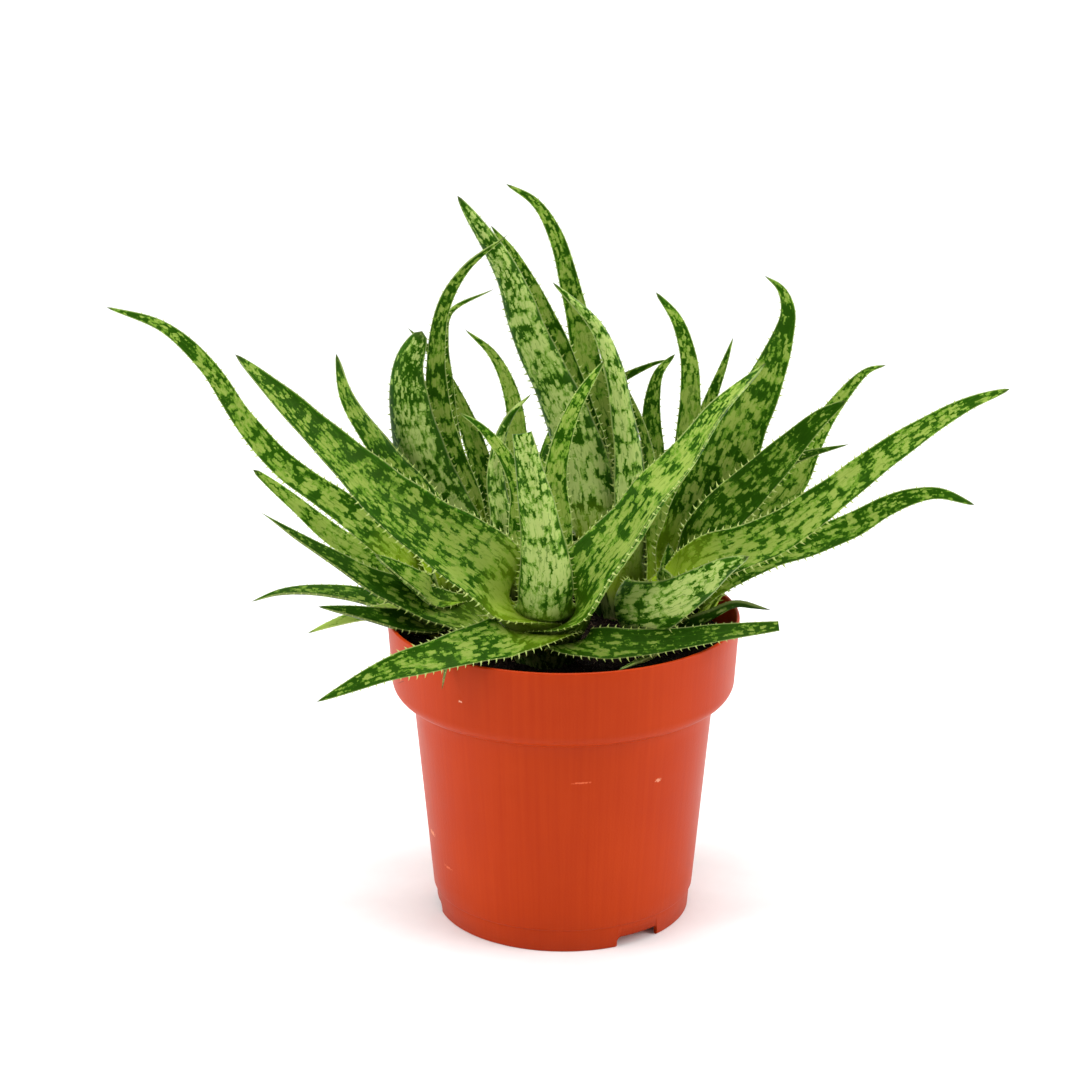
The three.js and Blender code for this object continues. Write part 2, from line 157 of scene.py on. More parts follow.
# Each soft box: name, place, where it aims, width and height in metres, power in watts.
ON_PLANT = (0, 0, 0.12)
ON_PAPER = (0, 1.6, 0.6)
SOFT_BOXES = [
    ("overhead", (0.0, -0.15, 1.25), ON_PLANT, 1.0, 0.9, 10),
    ("left", (-1.05, -0.35, 0.5), ON_PLANT, 0.8, 1.0, 11),
    ("right", (1.05, -0.3, 0.5), ON_PLANT, 0.8, 1.0, 11),
    ("front", (-0.25, -1.5, 0.9), ON_PLANT, 0.7, 0.6, 1.5),
    ("background", (0.0, 0.3, 1.9), ON_PAPER, 2.0, 0.5, 22),
]
for name, place, aim, width, height, power in SOFT_BOXES:
    light = bpy.data.lights.new("soft box " + name, "AREA")
    light.shape = "RECTANGLE"
    light.size = width
    light.size_y = height
    light.energy = power
    box = bpy.data.objects.new("soft box " + name, light)
    box.location = place
    box.rotation_euler = (Vector(aim) - Vector(place)).to_track_quat("-Z", "Y").to_euler()
    bpy.context.scene.collection.objects.link(box)

# ---- pot ----------------------------------------------------------------------------------
# A nursery pot of 12 cm, injection moulded in one thin shell of terracotta-coloured
# polypropylene: a tall stacking collar, a tapered body and a foot with three water notches.

POT_RIM_RADIUS = 60
POT_HEIGHT = 106
POT_WALL = 1.2
POT_SEGMENTS = 240
COLLAR_BOTTOM = 78.5
COLLAR_RADIUS = 58.6
BODY_TOP_RADIUS = 51.8
BODY_BOTTOM_RADIUS = 45.0
FOOT_HEIGHT = 8
FOOT_RADIUS = 43.8
FLOOR_HEIGHT = 4.6
FLOOR_WALL = 1.4
PAD_RADIUS = 10
NOTCH_HEIGHT = 3.7
NOTCH_WIDTH = 17
NOTCH_DEPTH = 8
NOTCH_ROUNDING = 1.6
NOTCH_ANGLES = [-54, 66, 186]
DRAIN_RADIUS = 4
DRAIN_CIRCLE = 30
DRAIN_COUNT = 6
DRAIN_SIDES = 24
DRAIN_CUT = (-5, 20)     # the holes are cut between these heights
SHOULDER = 5.4           # radius of the collar's lower edge
FLOW_RADIUS = 50         # about the wall's radius, for patterns that run round it
BODY_INSIDE_TOP = BODY_TOP_RADIUS - POT_WALL
BODY_INSIDE_BOTTOM = BODY_BOTTOM_RADIUS - POT_WALL
COLLAR_INSIDE = COLLAR_RADIUS - POT_WALL
STEP_INSIDE = COLLAR_BOTTOM + POT_WALL
INNER_SHOULDER = SHOULDER - POT_WALL


def arc(centre_radius, centre_height, size, from_degrees, to_degrees, steps):
    """Points of a round corner of a profile."""
    points = []
    for step in range(steps + 1):
        angle = math.radians(from_degrees + (to_degrees - from_degrees) * step / steps)
        points.append((centre_radius + size * math.cos(angle), centre_height + size * math.sin(angle)))
    return points


def finely(profile, pitch):
    """The same profile with its long straight runs cut into pieces of about that length."""
    points = [profile[0]]
    for (r0, z0), (r1, z1) in zip(profile, profile[1:]):
        pieces = max(1, round(math.hypot(r1 - r0, z1 - z0) / pitch))
        points += [(r0 + (r1 - r0) * k / pieces, z0 + (z1 - z0) * k / pieces) for k in range(1, pieces + 1)]
    return points


def turned(name, profile, segments):
    """A closed solid of revolution; the profile runs from the axis to the axis, in mm."""
    ring_points = [(r * MM, z * MM) for r, z in profile[1:-1]]
    verts = [(0, 0, profile[0][1] * MM), (0, 0, profile[-1][1] * MM)]
    for r, z in ring_points:
        verts += [(r * math.cos(2 * math.pi * k / segments), r * math.sin(2 * math.pi * k / segments), z)
                  for k in range(segments)]
    faces = []
    last = 2 + (len(ring_points) - 1) * segments
    for k in range(segments):
        after = (k + 1) % segments
        faces.append((0, 2 + after, 2 + k))
        faces.append((1, last + k, last + after))
        for ring in range(len(ring_points) - 1):
            low = 2 + ring * segments
            high = low + segments
            faces.append((low + k, low + after, high + after, high + k))
    return mesh_object(name, verts, faces)


# The profile runs from the middle of the underside round the foot, the body, the collar and the
# rim, and back down the inside. Its steps of under 2 mm are the mould's draft and rounded edges.
half_wall = POT_WALL / 2
pot_profile = [
    (0, 0), (PAD_RADIUS, 0), (PAD_RADIUS + 2, FLOOR_HEIGHT - FLOOR_WALL),
    (FOOT_RADIUS - 1.6, FLOOR_HEIGHT - FLOOR_WALL), (FOOT_RADIUS - 1.6, 0.3), (FOOT_RADIUS - 1.3, 0),
    (FOOT_RADIUS - 0.5, 0), (FOOT_RADIUS - 0.1, 0.4), (FOOT_RADIUS + 0.5, FOOT_HEIGHT - 0.3),
    (FOOT_RADIUS + 0.65, FOOT_HEIGHT + 0.1), (BODY_BOTTOM_RADIUS - 0.1, FOOT_HEIGHT + 0.4),
    (BODY_BOTTOM_RADIUS + 0.1, FOOT_HEIGHT + 0.8), (BODY_TOP_RADIUS - 0.3, COLLAR_BOTTOM - 0.8),
    (BODY_TOP_RADIUS, COLLAR_BOTTOM - 0.1),
    *arc(COLLAR_RADIUS - SHOULDER, COLLAR_BOTTOM + SHOULDER, SHOULDER, -90, 0, 10),
    *arc(POT_RIM_RADIUS - half_wall, POT_HEIGHT - half_wall, half_wall, 0, 180, 10),
    *arc(COLLAR_INSIDE - INNER_SHOULDER, STEP_INSIDE + INNER_SHOULDER, INNER_SHOULDER, 0, -90, 6),
    (BODY_INSIDE_TOP, STEP_INSIDE), (BODY_INSIDE_BOTTOM - 0.4, FLOOR_HEIGHT),
    (PAD_RADIUS + 1.4, FLOOR_HEIGHT), (PAD_RADIUS - 0.6, FLOOR_WALL), (0, FLOOR_WALL),
]
pot = turned("moulded_pot", finely(pot_profile, 6), POT_SEGMENTS)


def cutter(name, verts, faces, bevel):
    """A tool that cuts a notch or a hole, with its edges rounded where a bevel is given."""
    made = mesh_object(name, verts, faces, smooth=False)
    if bevel:
        rounded = made.modifiers.new("rounded", "BEVEL")
        rounded.width = bevel * MM
        rounded.segments = 4
    return made


cutters = []
for degrees in NOTCH_ANGLES:
    turn = math.radians(degrees)
    corners = []
    for z in (-NOTCH_HEIGHT, NOTCH_HEIGHT):
        for x, y in ((-1, -1), (1, -1), (1, 1), (-1, 1)):
            r = FOOT_RADIUS + x * NOTCH_DEPTH / 2
            t = y * NOTCH_WIDTH / 2
            corners.append(((r * math.cos(turn) - t * math.sin(turn)) * MM,
                            (r * math.sin(turn) + t * math.cos(turn)) * MM, z * MM))
    sides = [(0, 3, 2, 1), (4, 5, 6, 7), (0, 1, 5, 4), (1, 2, 6, 5), (2, 3, 7, 6), (3, 0, 4, 7)]
    cutters.append(cutter(f"notch{degrees}", corners, sides, NOTCH_ROUNDING))
for hole in range(DRAIN_COUNT):
    turn = 2 * math.pi * hole / DRAIN_COUNT
    centre = (DRAIN_CIRCLE * math.cos(turn), DRAIN_CIRCLE * math.sin(turn))
    ring = []
    for k in range(DRAIN_SIDES):
        angle = math.radians(360 * k / DRAIN_SIDES)
        ring.append(((centre[0] + DRAIN_RADIUS * math.cos(angle)) * MM,
                     (centre[1] + DRAIN_RADIUS * math.sin(angle)) * MM))
    corners = [(x, y, z * MM) for z in DRAIN_CUT for x, y in ring]
    sides = [tuple(reversed(range(DRAIN_SIDES))), tuple(range(DRAIN_SIDES, 2 * DRAIN_SIDES))]
    for k in range(DRAIN_SIDES):
        after = (k + 1) % DRAIN_SIDES
        sides.append((k, after, DRAIN_SIDES + after, DRAIN_SIDES + k))
    cutters.append(cutter(f"drain{hole}", corners, sides, 0))


def baked(piece):
    """The piece's evaluated shape as a plain mesh, with its modifiers removed."""
    depsgraph = bpy.context.evaluated_depsgraph_get()
    mesh = bpy.data.meshes.new_from_object(piece.evaluated_get(depsgraph), depsgraph=depsgraph)
    piece.modifiers.clear()
    piece.data = mesh
    return piece


for tool in cutters:
    cut = pot.modifiers.new("cut", "BOOLEAN")
    cut.operation = "DIFFERENCE"
    cut.solver = "EXACT"
    cut.object = tool
baked(pot)
for tool in cutters:
    bpy.data.objects.remove(tool)

# Polypropylene from a mould: satin, with faint upright flow lines where the melt ran up the
# wall, a dusting of fine pores and a few scuffs from the nursery tray.
FLOW_LINE = 1.6          # mm between flow lines, drawn a little coarse so that they show
plastic, tree, shader = finish_material("moulded polypropylene")
place = add(tree, "TexCoord").outputs["Object"]
parts = add(tree, "SeparateXYZ", [place])
azimuth = add(tree, "Math", [parts.outputs[1], parts.outputs[0]], operation="ARCTAN2")
around = add(tree, "Math", [azimuth, FLOW_RADIUS / FLOW_LINE], operation="MULTIPLY")
upward = add(tree, "Math", [parts.outputs[2], 12.0], operation="MULTIPLY")
flow_place = add(tree, "CombineXYZ", [around, upward])
flow = add(tree, "TexNoise", {"Vector": flow_place, "Scale": 1.0, "Detail": 3.0, "Roughness": 0.6})
cloud = add(tree, "TexNoise", {"Vector": place, "Scale": 28.0, "Detail": 3.0})
pores = add(tree, "TexNoise", {"Vector": place, "Scale": 1500.0, "Detail": 2.0})
blend = add(tree, "Math", [flow, cloud], operation="ADD")
mixing = add(tree, "MapRange", [blend, 0.7, 1.3])
orange = add(tree, "Mix", {"Factor": mixing, "A": "#a12e03", "B": "#aa3506"}, data_type="RGBA")

# Each scuff: its place, half its length and half its height in mm, and its colour.
SCUFFS = [
    ((-22.8, -42.6, 26.0), 0.9, 2.2, "#7a2a12"),
    ((31.5, -38.5, 60.5), 1.2, 0.7, "#d99472"),
    ((-45.0, -15.0, 31.0), 3.0, 0.9, "#dc8a62"),
    ((-33.5, -48.5, 92.0), 0.7, 0.5, "#e6ac90"),
    ((-40.0, -25.5, 22.5), 2.6, 0.5, "#d06a44"),
    ((6.0, -48.8, 64.0), 3.0, 0.4, "#d4633c"),
]
coloured = orange
for scuff_place, half_long, half_high, scuff_colour in SCUFFS:
    offset = add(tree, "VectorMath", [place, Vector(scuff_place) * MM], operation="SUBTRACT")
    size = (half_long * MM, half_long * MM, half_high * MM)
    scaled = add(tree, "VectorMath", [offset, size], operation="DIVIDE")
    reach = add(tree, "VectorMath", [scaled], operation="LENGTH")
    ragged = add(tree, "Math", [pores, 2.2, reach], operation="MULTIPLY_ADD")
    mark = add(tree, "MapRange", [ragged, 1.7, 2.2, 0.8, 0.0])
    coloured = add(tree, "Mix", {"Factor": mark, "A": coloured, "B": scuff_colour}, data_type="RGBA")
gloss = add(tree, "MapRange", [cloud, 0.3, 0.7, 0.36, 0.46])
relief = add(tree, "Math", [flow, 0.5, pores], operation="MULTIPLY_ADD")
bump = add(tree, "Bump", {"Height": relief, "Strength": 0.22, "Distance": 0.0002})
give(tree, shader, {
    "Base Color": coloured, "Roughness": gloss, "Normal": bump, "IOR": 1.49, "Specular IOR Level": 0.1})
pot.data.materials.clear()
pot.data.materials.append(plastic)
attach(pot, "root")
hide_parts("pot")

# ---- soil ---------------------------------------------------------------------------------
# Black peat that fills the pot to about 10 mm below the rim. Its crust is uneven, and loose
# crumbs and dry root fibres lie on it.

GAP = 0.35               # mm between the soil and the pot
SOIL_LEVEL = 96
SOIL_CROWN = 97.5
SOIL_ROUGHNESS = 1.1
SOIL_RINGS = 46
SOIL_SEGMENTS = 150
WAVES = ((17.0, 0.45), (7.3, 0.3), (3.1, 0.25))      # length in mm and share of the height
WAVE_FADE = 0.999        # share of the sum so far that each next wave keeps


def waves(x, y, seed):
    """Smooth, seemingly random height from -2.5 to 1.5 for a place in mm."""
    total = 0.0
    for k, (size, share) in enumerate(WAVES):
        phase = seed + 1.7 * k
        total += share * math.sin(x / size * 2.4 + phase + 1.3 * math.sin(y / size + phase))
        total *= WAVE_FADE
        total += share * math.sin(y / size * 2.1 - phase + 1.1 * math.sin(x / size * 1.3 + phase))
        total -= share * 0.5
    return total


soil_profile = [
    (0, FLOOR_WALL + GAP), (PAD_RADIUS - 0.8, FLOOR_WALL + GAP), (PAD_RADIUS + 1.1, FLOOR_HEIGHT + GAP),
    (BODY_INSIDE_BOTTOM - 0.4 - GAP, FLOOR_HEIGHT + GAP), (BODY_INSIDE_TOP - GAP, STEP_INSIDE + GAP),
    (COLLAR_INSIDE - INNER_SHOULDER, STEP_INSIDE + GAP), (COLLAR_INSIDE - 2 - GAP, STEP_INSIDE + 1.3 + GAP),
    (COLLAR_INSIDE - GAP, STEP_INSIDE + INNER_SHOULDER), (COLLAR_INSIDE - GAP, SOIL_LEVEL - 1),
]
top_radius = COLLAR_INSIDE - GAP
for ring in range(1, SOIL_RINGS):
    r = top_radius * (1 - ring / SOIL_RINGS)
    soil_profile.append((r, SOIL_LEVEL + (SOIL_CROWN - SOIL_LEVEL) * (1 - r / top_radius)))
soil_profile.append((0, SOIL_CROWN))
soil = turned("peat", soil_profile, SOIL_SEGMENTS)
for vert in soil.data.vertices:
    if vert.co.z > (SOIL_LEVEL - 0.5) * MM:
        vert.co.z += SOIL_ROUGHNESS * MM * waves(vert.co.x / MM, vert.co.y / MM, 0.4)

# Peat, for the crust and its crumbs: dark and matt, brown where it has dried.
peat, tree, shader = finish_material("black peat")
place = add(tree, "TexCoord").outputs["Object"]
clod = add(tree, "TexNoise", {"Vector": place, "Scale": 1 / (4 * MM), "Detail": 6.0, "Roughness": 0.7})
grit = add(tree, "TexVoronoi", {"Vector": place, "Scale": 1 / (1.1 * MM)})
dry = add(tree, "MapRange", [clod, 0.42, 0.72])
brown = add(tree, "Mix", {"Factor": dry, "A": "#100c0a", "B": "#2b2019"}, data_type="RGBA")
height = add(tree, "Math", [clod, grit], operation="ADD")
bump = add(tree, "Bump", {"Height": height, "Strength": 0.9, "Distance": 0.0012})
give(tree, shader, {"Base Color": brown, "Normal": bump, "Roughness": 0.95, "Specular IOR Level": 0.05})

# Root fibres: thin, dry and tan.
fibre, tree, shader = finish_material("dry root fibre")
place = add(tree, "TexCoord").outputs["Object"]
shade = add(tree, "TexNoise", {"Vector": place, "Scale": 1 / (5 * MM)})
tan = add(tree, "Mix", {"Factor": shade, "A": "#3b2a1c", "B": "#6f543a"}, data_type="RGBA")
give(tree, shader, {"Base Color": tan, "Roughness": 0.85})


def shape_group(name, shape, sizes):
    """A group of geometry nodes that takes a shape, sizes and a seed and returns the shape."""
    group = bpy.data.node_groups.new(name, "GeometryNodeTree")
    face = group.interface
    face.new_socket(shape, in_out="INPUT", socket_type="NodeSocketGeometry")
    for label, value in sizes.items():
        face.new_socket(label, in_out="INPUT", socket_type="NodeSocketFloat").default_value = value
    face.new_socket("Seed", in_out="INPUT", socket_type="NodeSocketInt").default_value = 0
    face.new_socket(shape, in_out="OUTPUT", socket_type="NodeSocketGeometry")
    return group, add(group, "GroupInput").outputs


def join_to(group, shape, instances, finish):
    """Ends a group: the instances become real, get their material and are joined to the shape."""
    real = add(group, "RealizeInstances", [instances])
    dressed = add(group, "SetMaterial", {"Geometry": real, "Material": finish})
    joined = add(group, "JoinGeometry", [dressed])
    give(group, joined, [shape])
    add(group, "GroupOutput", [joined])


def scatter_tree(name, kind, finish):
    """Geometry nodes that strew crumbs or fibres over the upward faces of a surface. A crumb is
    a dented, flattened ball; a fibre is a thin stick that lies down and bows."""
    group, given = shape_group(name, "Ground", {"Density": 1.0, "Smallest": 1.0, "Largest": 1.0})
    normal = add(group, "InputNormal")
    upright = add(group, "SeparateXYZ", [normal]).outputs[2]
    level = add(group, "Compare", [upright, 0.7], operation="GREATER_THAN")
    points = add(group, "DistributePointsOnFaces", {
        "Mesh": given["Ground"], "Selection": level, "Density": given["Density"], "Seed": given["Seed"]})
    if kind == "crumb":
        ball = add(group, "MeshIcoSphere", {"Radius": 1.0, "Subdivisions": 1})
        dents = add(group, "TexNoise", {"Scale": 1.4, "Detail": 1.0}).outputs["Color"]
        shift = add(group, "VectorMath", [dents, (0.5, 0.5, 0.5)], operation="SUBTRACT")
        grown = add(group, "VectorMath", {0: shift, 3: 1.6}, operation="SCALE")
        shape = add(group, "SetPosition", {"Geometry": ball, "Offset": grown})
        flat = (1.0, 0.8, 0.62)
    else:
        stick = add(group, "MeshCylinder", {
            "Vertices": 5, "Side Segments": 5, "Radius": 0.02, "Depth": 2.0})
        laid = add(group, "Transform", {"Geometry": stick, "Rotation": (0, math.pi / 2, 0)})
        where = add(group, "InputPosition")
        x = add(group, "SeparateXYZ", [where]).outputs[0]
        square = add(group, "Math", [x, x], operation="MULTIPLY")
        bow = add(group, "Math", [square, 0.3], operation="MULTIPLY")
        offset = add(group, "CombineXYZ", {1: bow})
        shape = add(group, "SetPosition", {"Geometry": laid, "Offset": offset})
        flat = (1.0, 1.0, 1.0)
    shaped = add(group, "Transform", {"Geometry": shape, "Scale": flat})
    spin = add(group, "RandomValue", {
        0: (-0.4, -0.4, 0.0), 1: (0.4, 0.4, 6.283), "Seed": given["Seed"]}, data_type="FLOAT_VECTOR")
    size = add(group, "RandomValue", {
        2: given["Smallest"], 3: given["Largest"], "Seed": given["Seed"]}, data_type="FLOAT")
    strewn = add(group, "InstanceOnPoints", {
        "Points": points, "Instance": shaped, "Rotation": spin, "Scale": size})
    join_to(group, given["Ground"], strewn, finish)
    return group


def grow(piece, group, values):
    """Adds a geometry nodes modifier with its named inputs set by their identifiers."""
    made = piece.modifiers.new(group.name, "NODES")
    made.node_group = group
    sockets = {s.name: s.identifier for s in group.interface.items_tree if s.in_out == "INPUT"}
    for label, value in values.items():
        made[sockets[label]] = value


soil.data.materials.append(peat)
soil.data.materials.append(fibre)
crumbs = scatter_tree("strewn crumbs", "crumb", peat)
fibres = scatter_tree("strewn fibres", "fibre", fibre)
grow(soil, fibres, {"Density": 28000.0, "Smallest": 1.5 * MM, "Largest": 4.5 * MM, "Seed": 5})
baked(soil)
grow(soil, crumbs, {"Density": 210000.0, "Smallest": 0.35 * MM, "Largest": 1.1 * MM, "Seed": 11})
baked(soil)
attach(soil, "root")
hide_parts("soil")

# ---- stems --------------------------------------------------------------------------------
# Five offsets of one clump, each a short fleshy stem that the leaf bases clasp. Rings on it
# are the scars of leaves that have dropped.

# Each crown: its place and the height of its heart, in mm.
CROWNS = {
    "front": (-6, -18, 122),
    "right": (38, 0, 132),
    "left": (-38, 2, 123),
    "middle": (20, 24, 125),
    "back": (-24, 26, 124),
}
STEM_RADIUS = 5.4
STEM_DEPTH = 9
# A stem narrows to a point among the bases: share of its radius, mm below the heart's height.
STEM_POINT = ((1, 26), (0.7, 20), (0.3, 16), (0, 15))
STEM_SEGMENTS = 40
SCAR_PITCH = 3.4         # mm between leaf scars
SCARS_FADE = (99, 105)   # mm; higher up a stem is young and has no scars

stalk, tree, shader = finish_material("fleshy stem")
place = add(tree, "TexCoord").outputs["Object"]
height_of = add(tree, "SeparateXYZ", [place]).outputs[2]
wobble = add(tree, "TexNoise", {"Vector": place, "Scale": 1 / (9 * MM)})
turns = add(tree, "Math", [height_of, 1 / (SCAR_PITCH * MM), wobble], operation="MULTIPLY_ADD")
saw = add(tree, "Math", [turns], operation="FRACT")
scar = add(tree, "MapRange", [saw, 0.0, 0.22, 1.0, 0.0])
flesh = add(tree, "Mix", {"Factor": wobble, "A": "#5f7a1e", "B": "#7f9434"}, data_type="RGBA")
old = add(tree, "MapRange", [height_of, SCARS_FADE[0] * MM, SCARS_FADE[1] * MM, 1.0, 0.0])
scar_share = add(tree, "Math", [scar, old], operation="MULTIPLY")
scarred = add(tree, "Mix", {"Factor": scar_share, "A": flesh, "B": "#6a5433"}, data_type="RGBA")
bump = add(tree, "Bump", {"Height": saw, "Strength": 0.5, "Distance": 0.0006})
give(tree, shader, {"Base Color": scarred, "Normal": bump, "Roughness": 0.6})

for name, (x, y, top) in CROWNS.items():
    bottom = SOIL_LEVEL - STEM_DEPTH
    profile = [(0, bottom), (STEM_RADIUS - 0.6, bottom), (STEM_RADIUS, bottom + 1)]
    profile += [(share * STEM_RADIUS, top - below) for share, below in STEM_POINT]
    stem = turned(f"fleshy_stem_{name}", finely(profile, 1.2), STEM_SEGMENTS)
    for vert in stem.data.vertices:
        swell = 1 + 0.04 * math.sin(3 * math.atan2(vert.co.y, vert.co.x) + vert.co.z / MM * 0.8)
        vert.co.x *= swell
        vert.co.y *= swell
        vert.co += Vector((x * MM, y * MM, 0))
    stem.data.materials.append(stalk)
    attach(stem, "root")
    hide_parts(f"stem_{name}")

# ---- leaves -------------------------------------------------------------------------------
# Aloe leaves: thick, water-filled blades with a channelled upper face, a rounded lower face
# and a waxy skin. Each one clasps its stem with a broad base and tapers to a dry point.

RING_STEP = 1.7          # mm between sections along a leaf
HALF_SECTION = 14        # steps across one face
AROUND = 2 * HALF_SECTION
LEAF_THICKNESS = 5.0
TIP_THICKNESS = 1.4
LEAF_DISH = 0.3
BASE_SHARE = 0.66        # half the width of a base, as a share of the leaf's width
TAPER = 0.75
FULL_WIDTH_REACH = 0.8   # a leaf narrows over this last share of its length
TWIST_LENGTH = 18        # a leaf turns its face over this length
CLASP_LENGTH = 13        # a clasping base opens into the blade over this length
SHEATH_LENGTH = 9        # the lowest part of a base, below the blade, is painted darker and duller, as painted shade
BASE_LEVEL = 94          # the bases reach down their stem to here, just under the soil
ROOT_REACH = 0.62        # a base lies within this share of the way to the midrib's first point
CUT_END = 0.985          # a leaf whose end is lost stops at this share of its path
PATTERN_STEP = 37.0      # mm that each leaf is moved on in the pattern, so that no two are alike
TOOTH_DROOP = 0.25       # how far the teeth point down from the upper face
BARE_TIP = 0.93          # a whole leaf has teeth up to this share of its length
FIRST_LAYER = 6.6        # radius of the innermost base
LAYER_STEP = 0.95        # each older leaf clasps the ones inside it
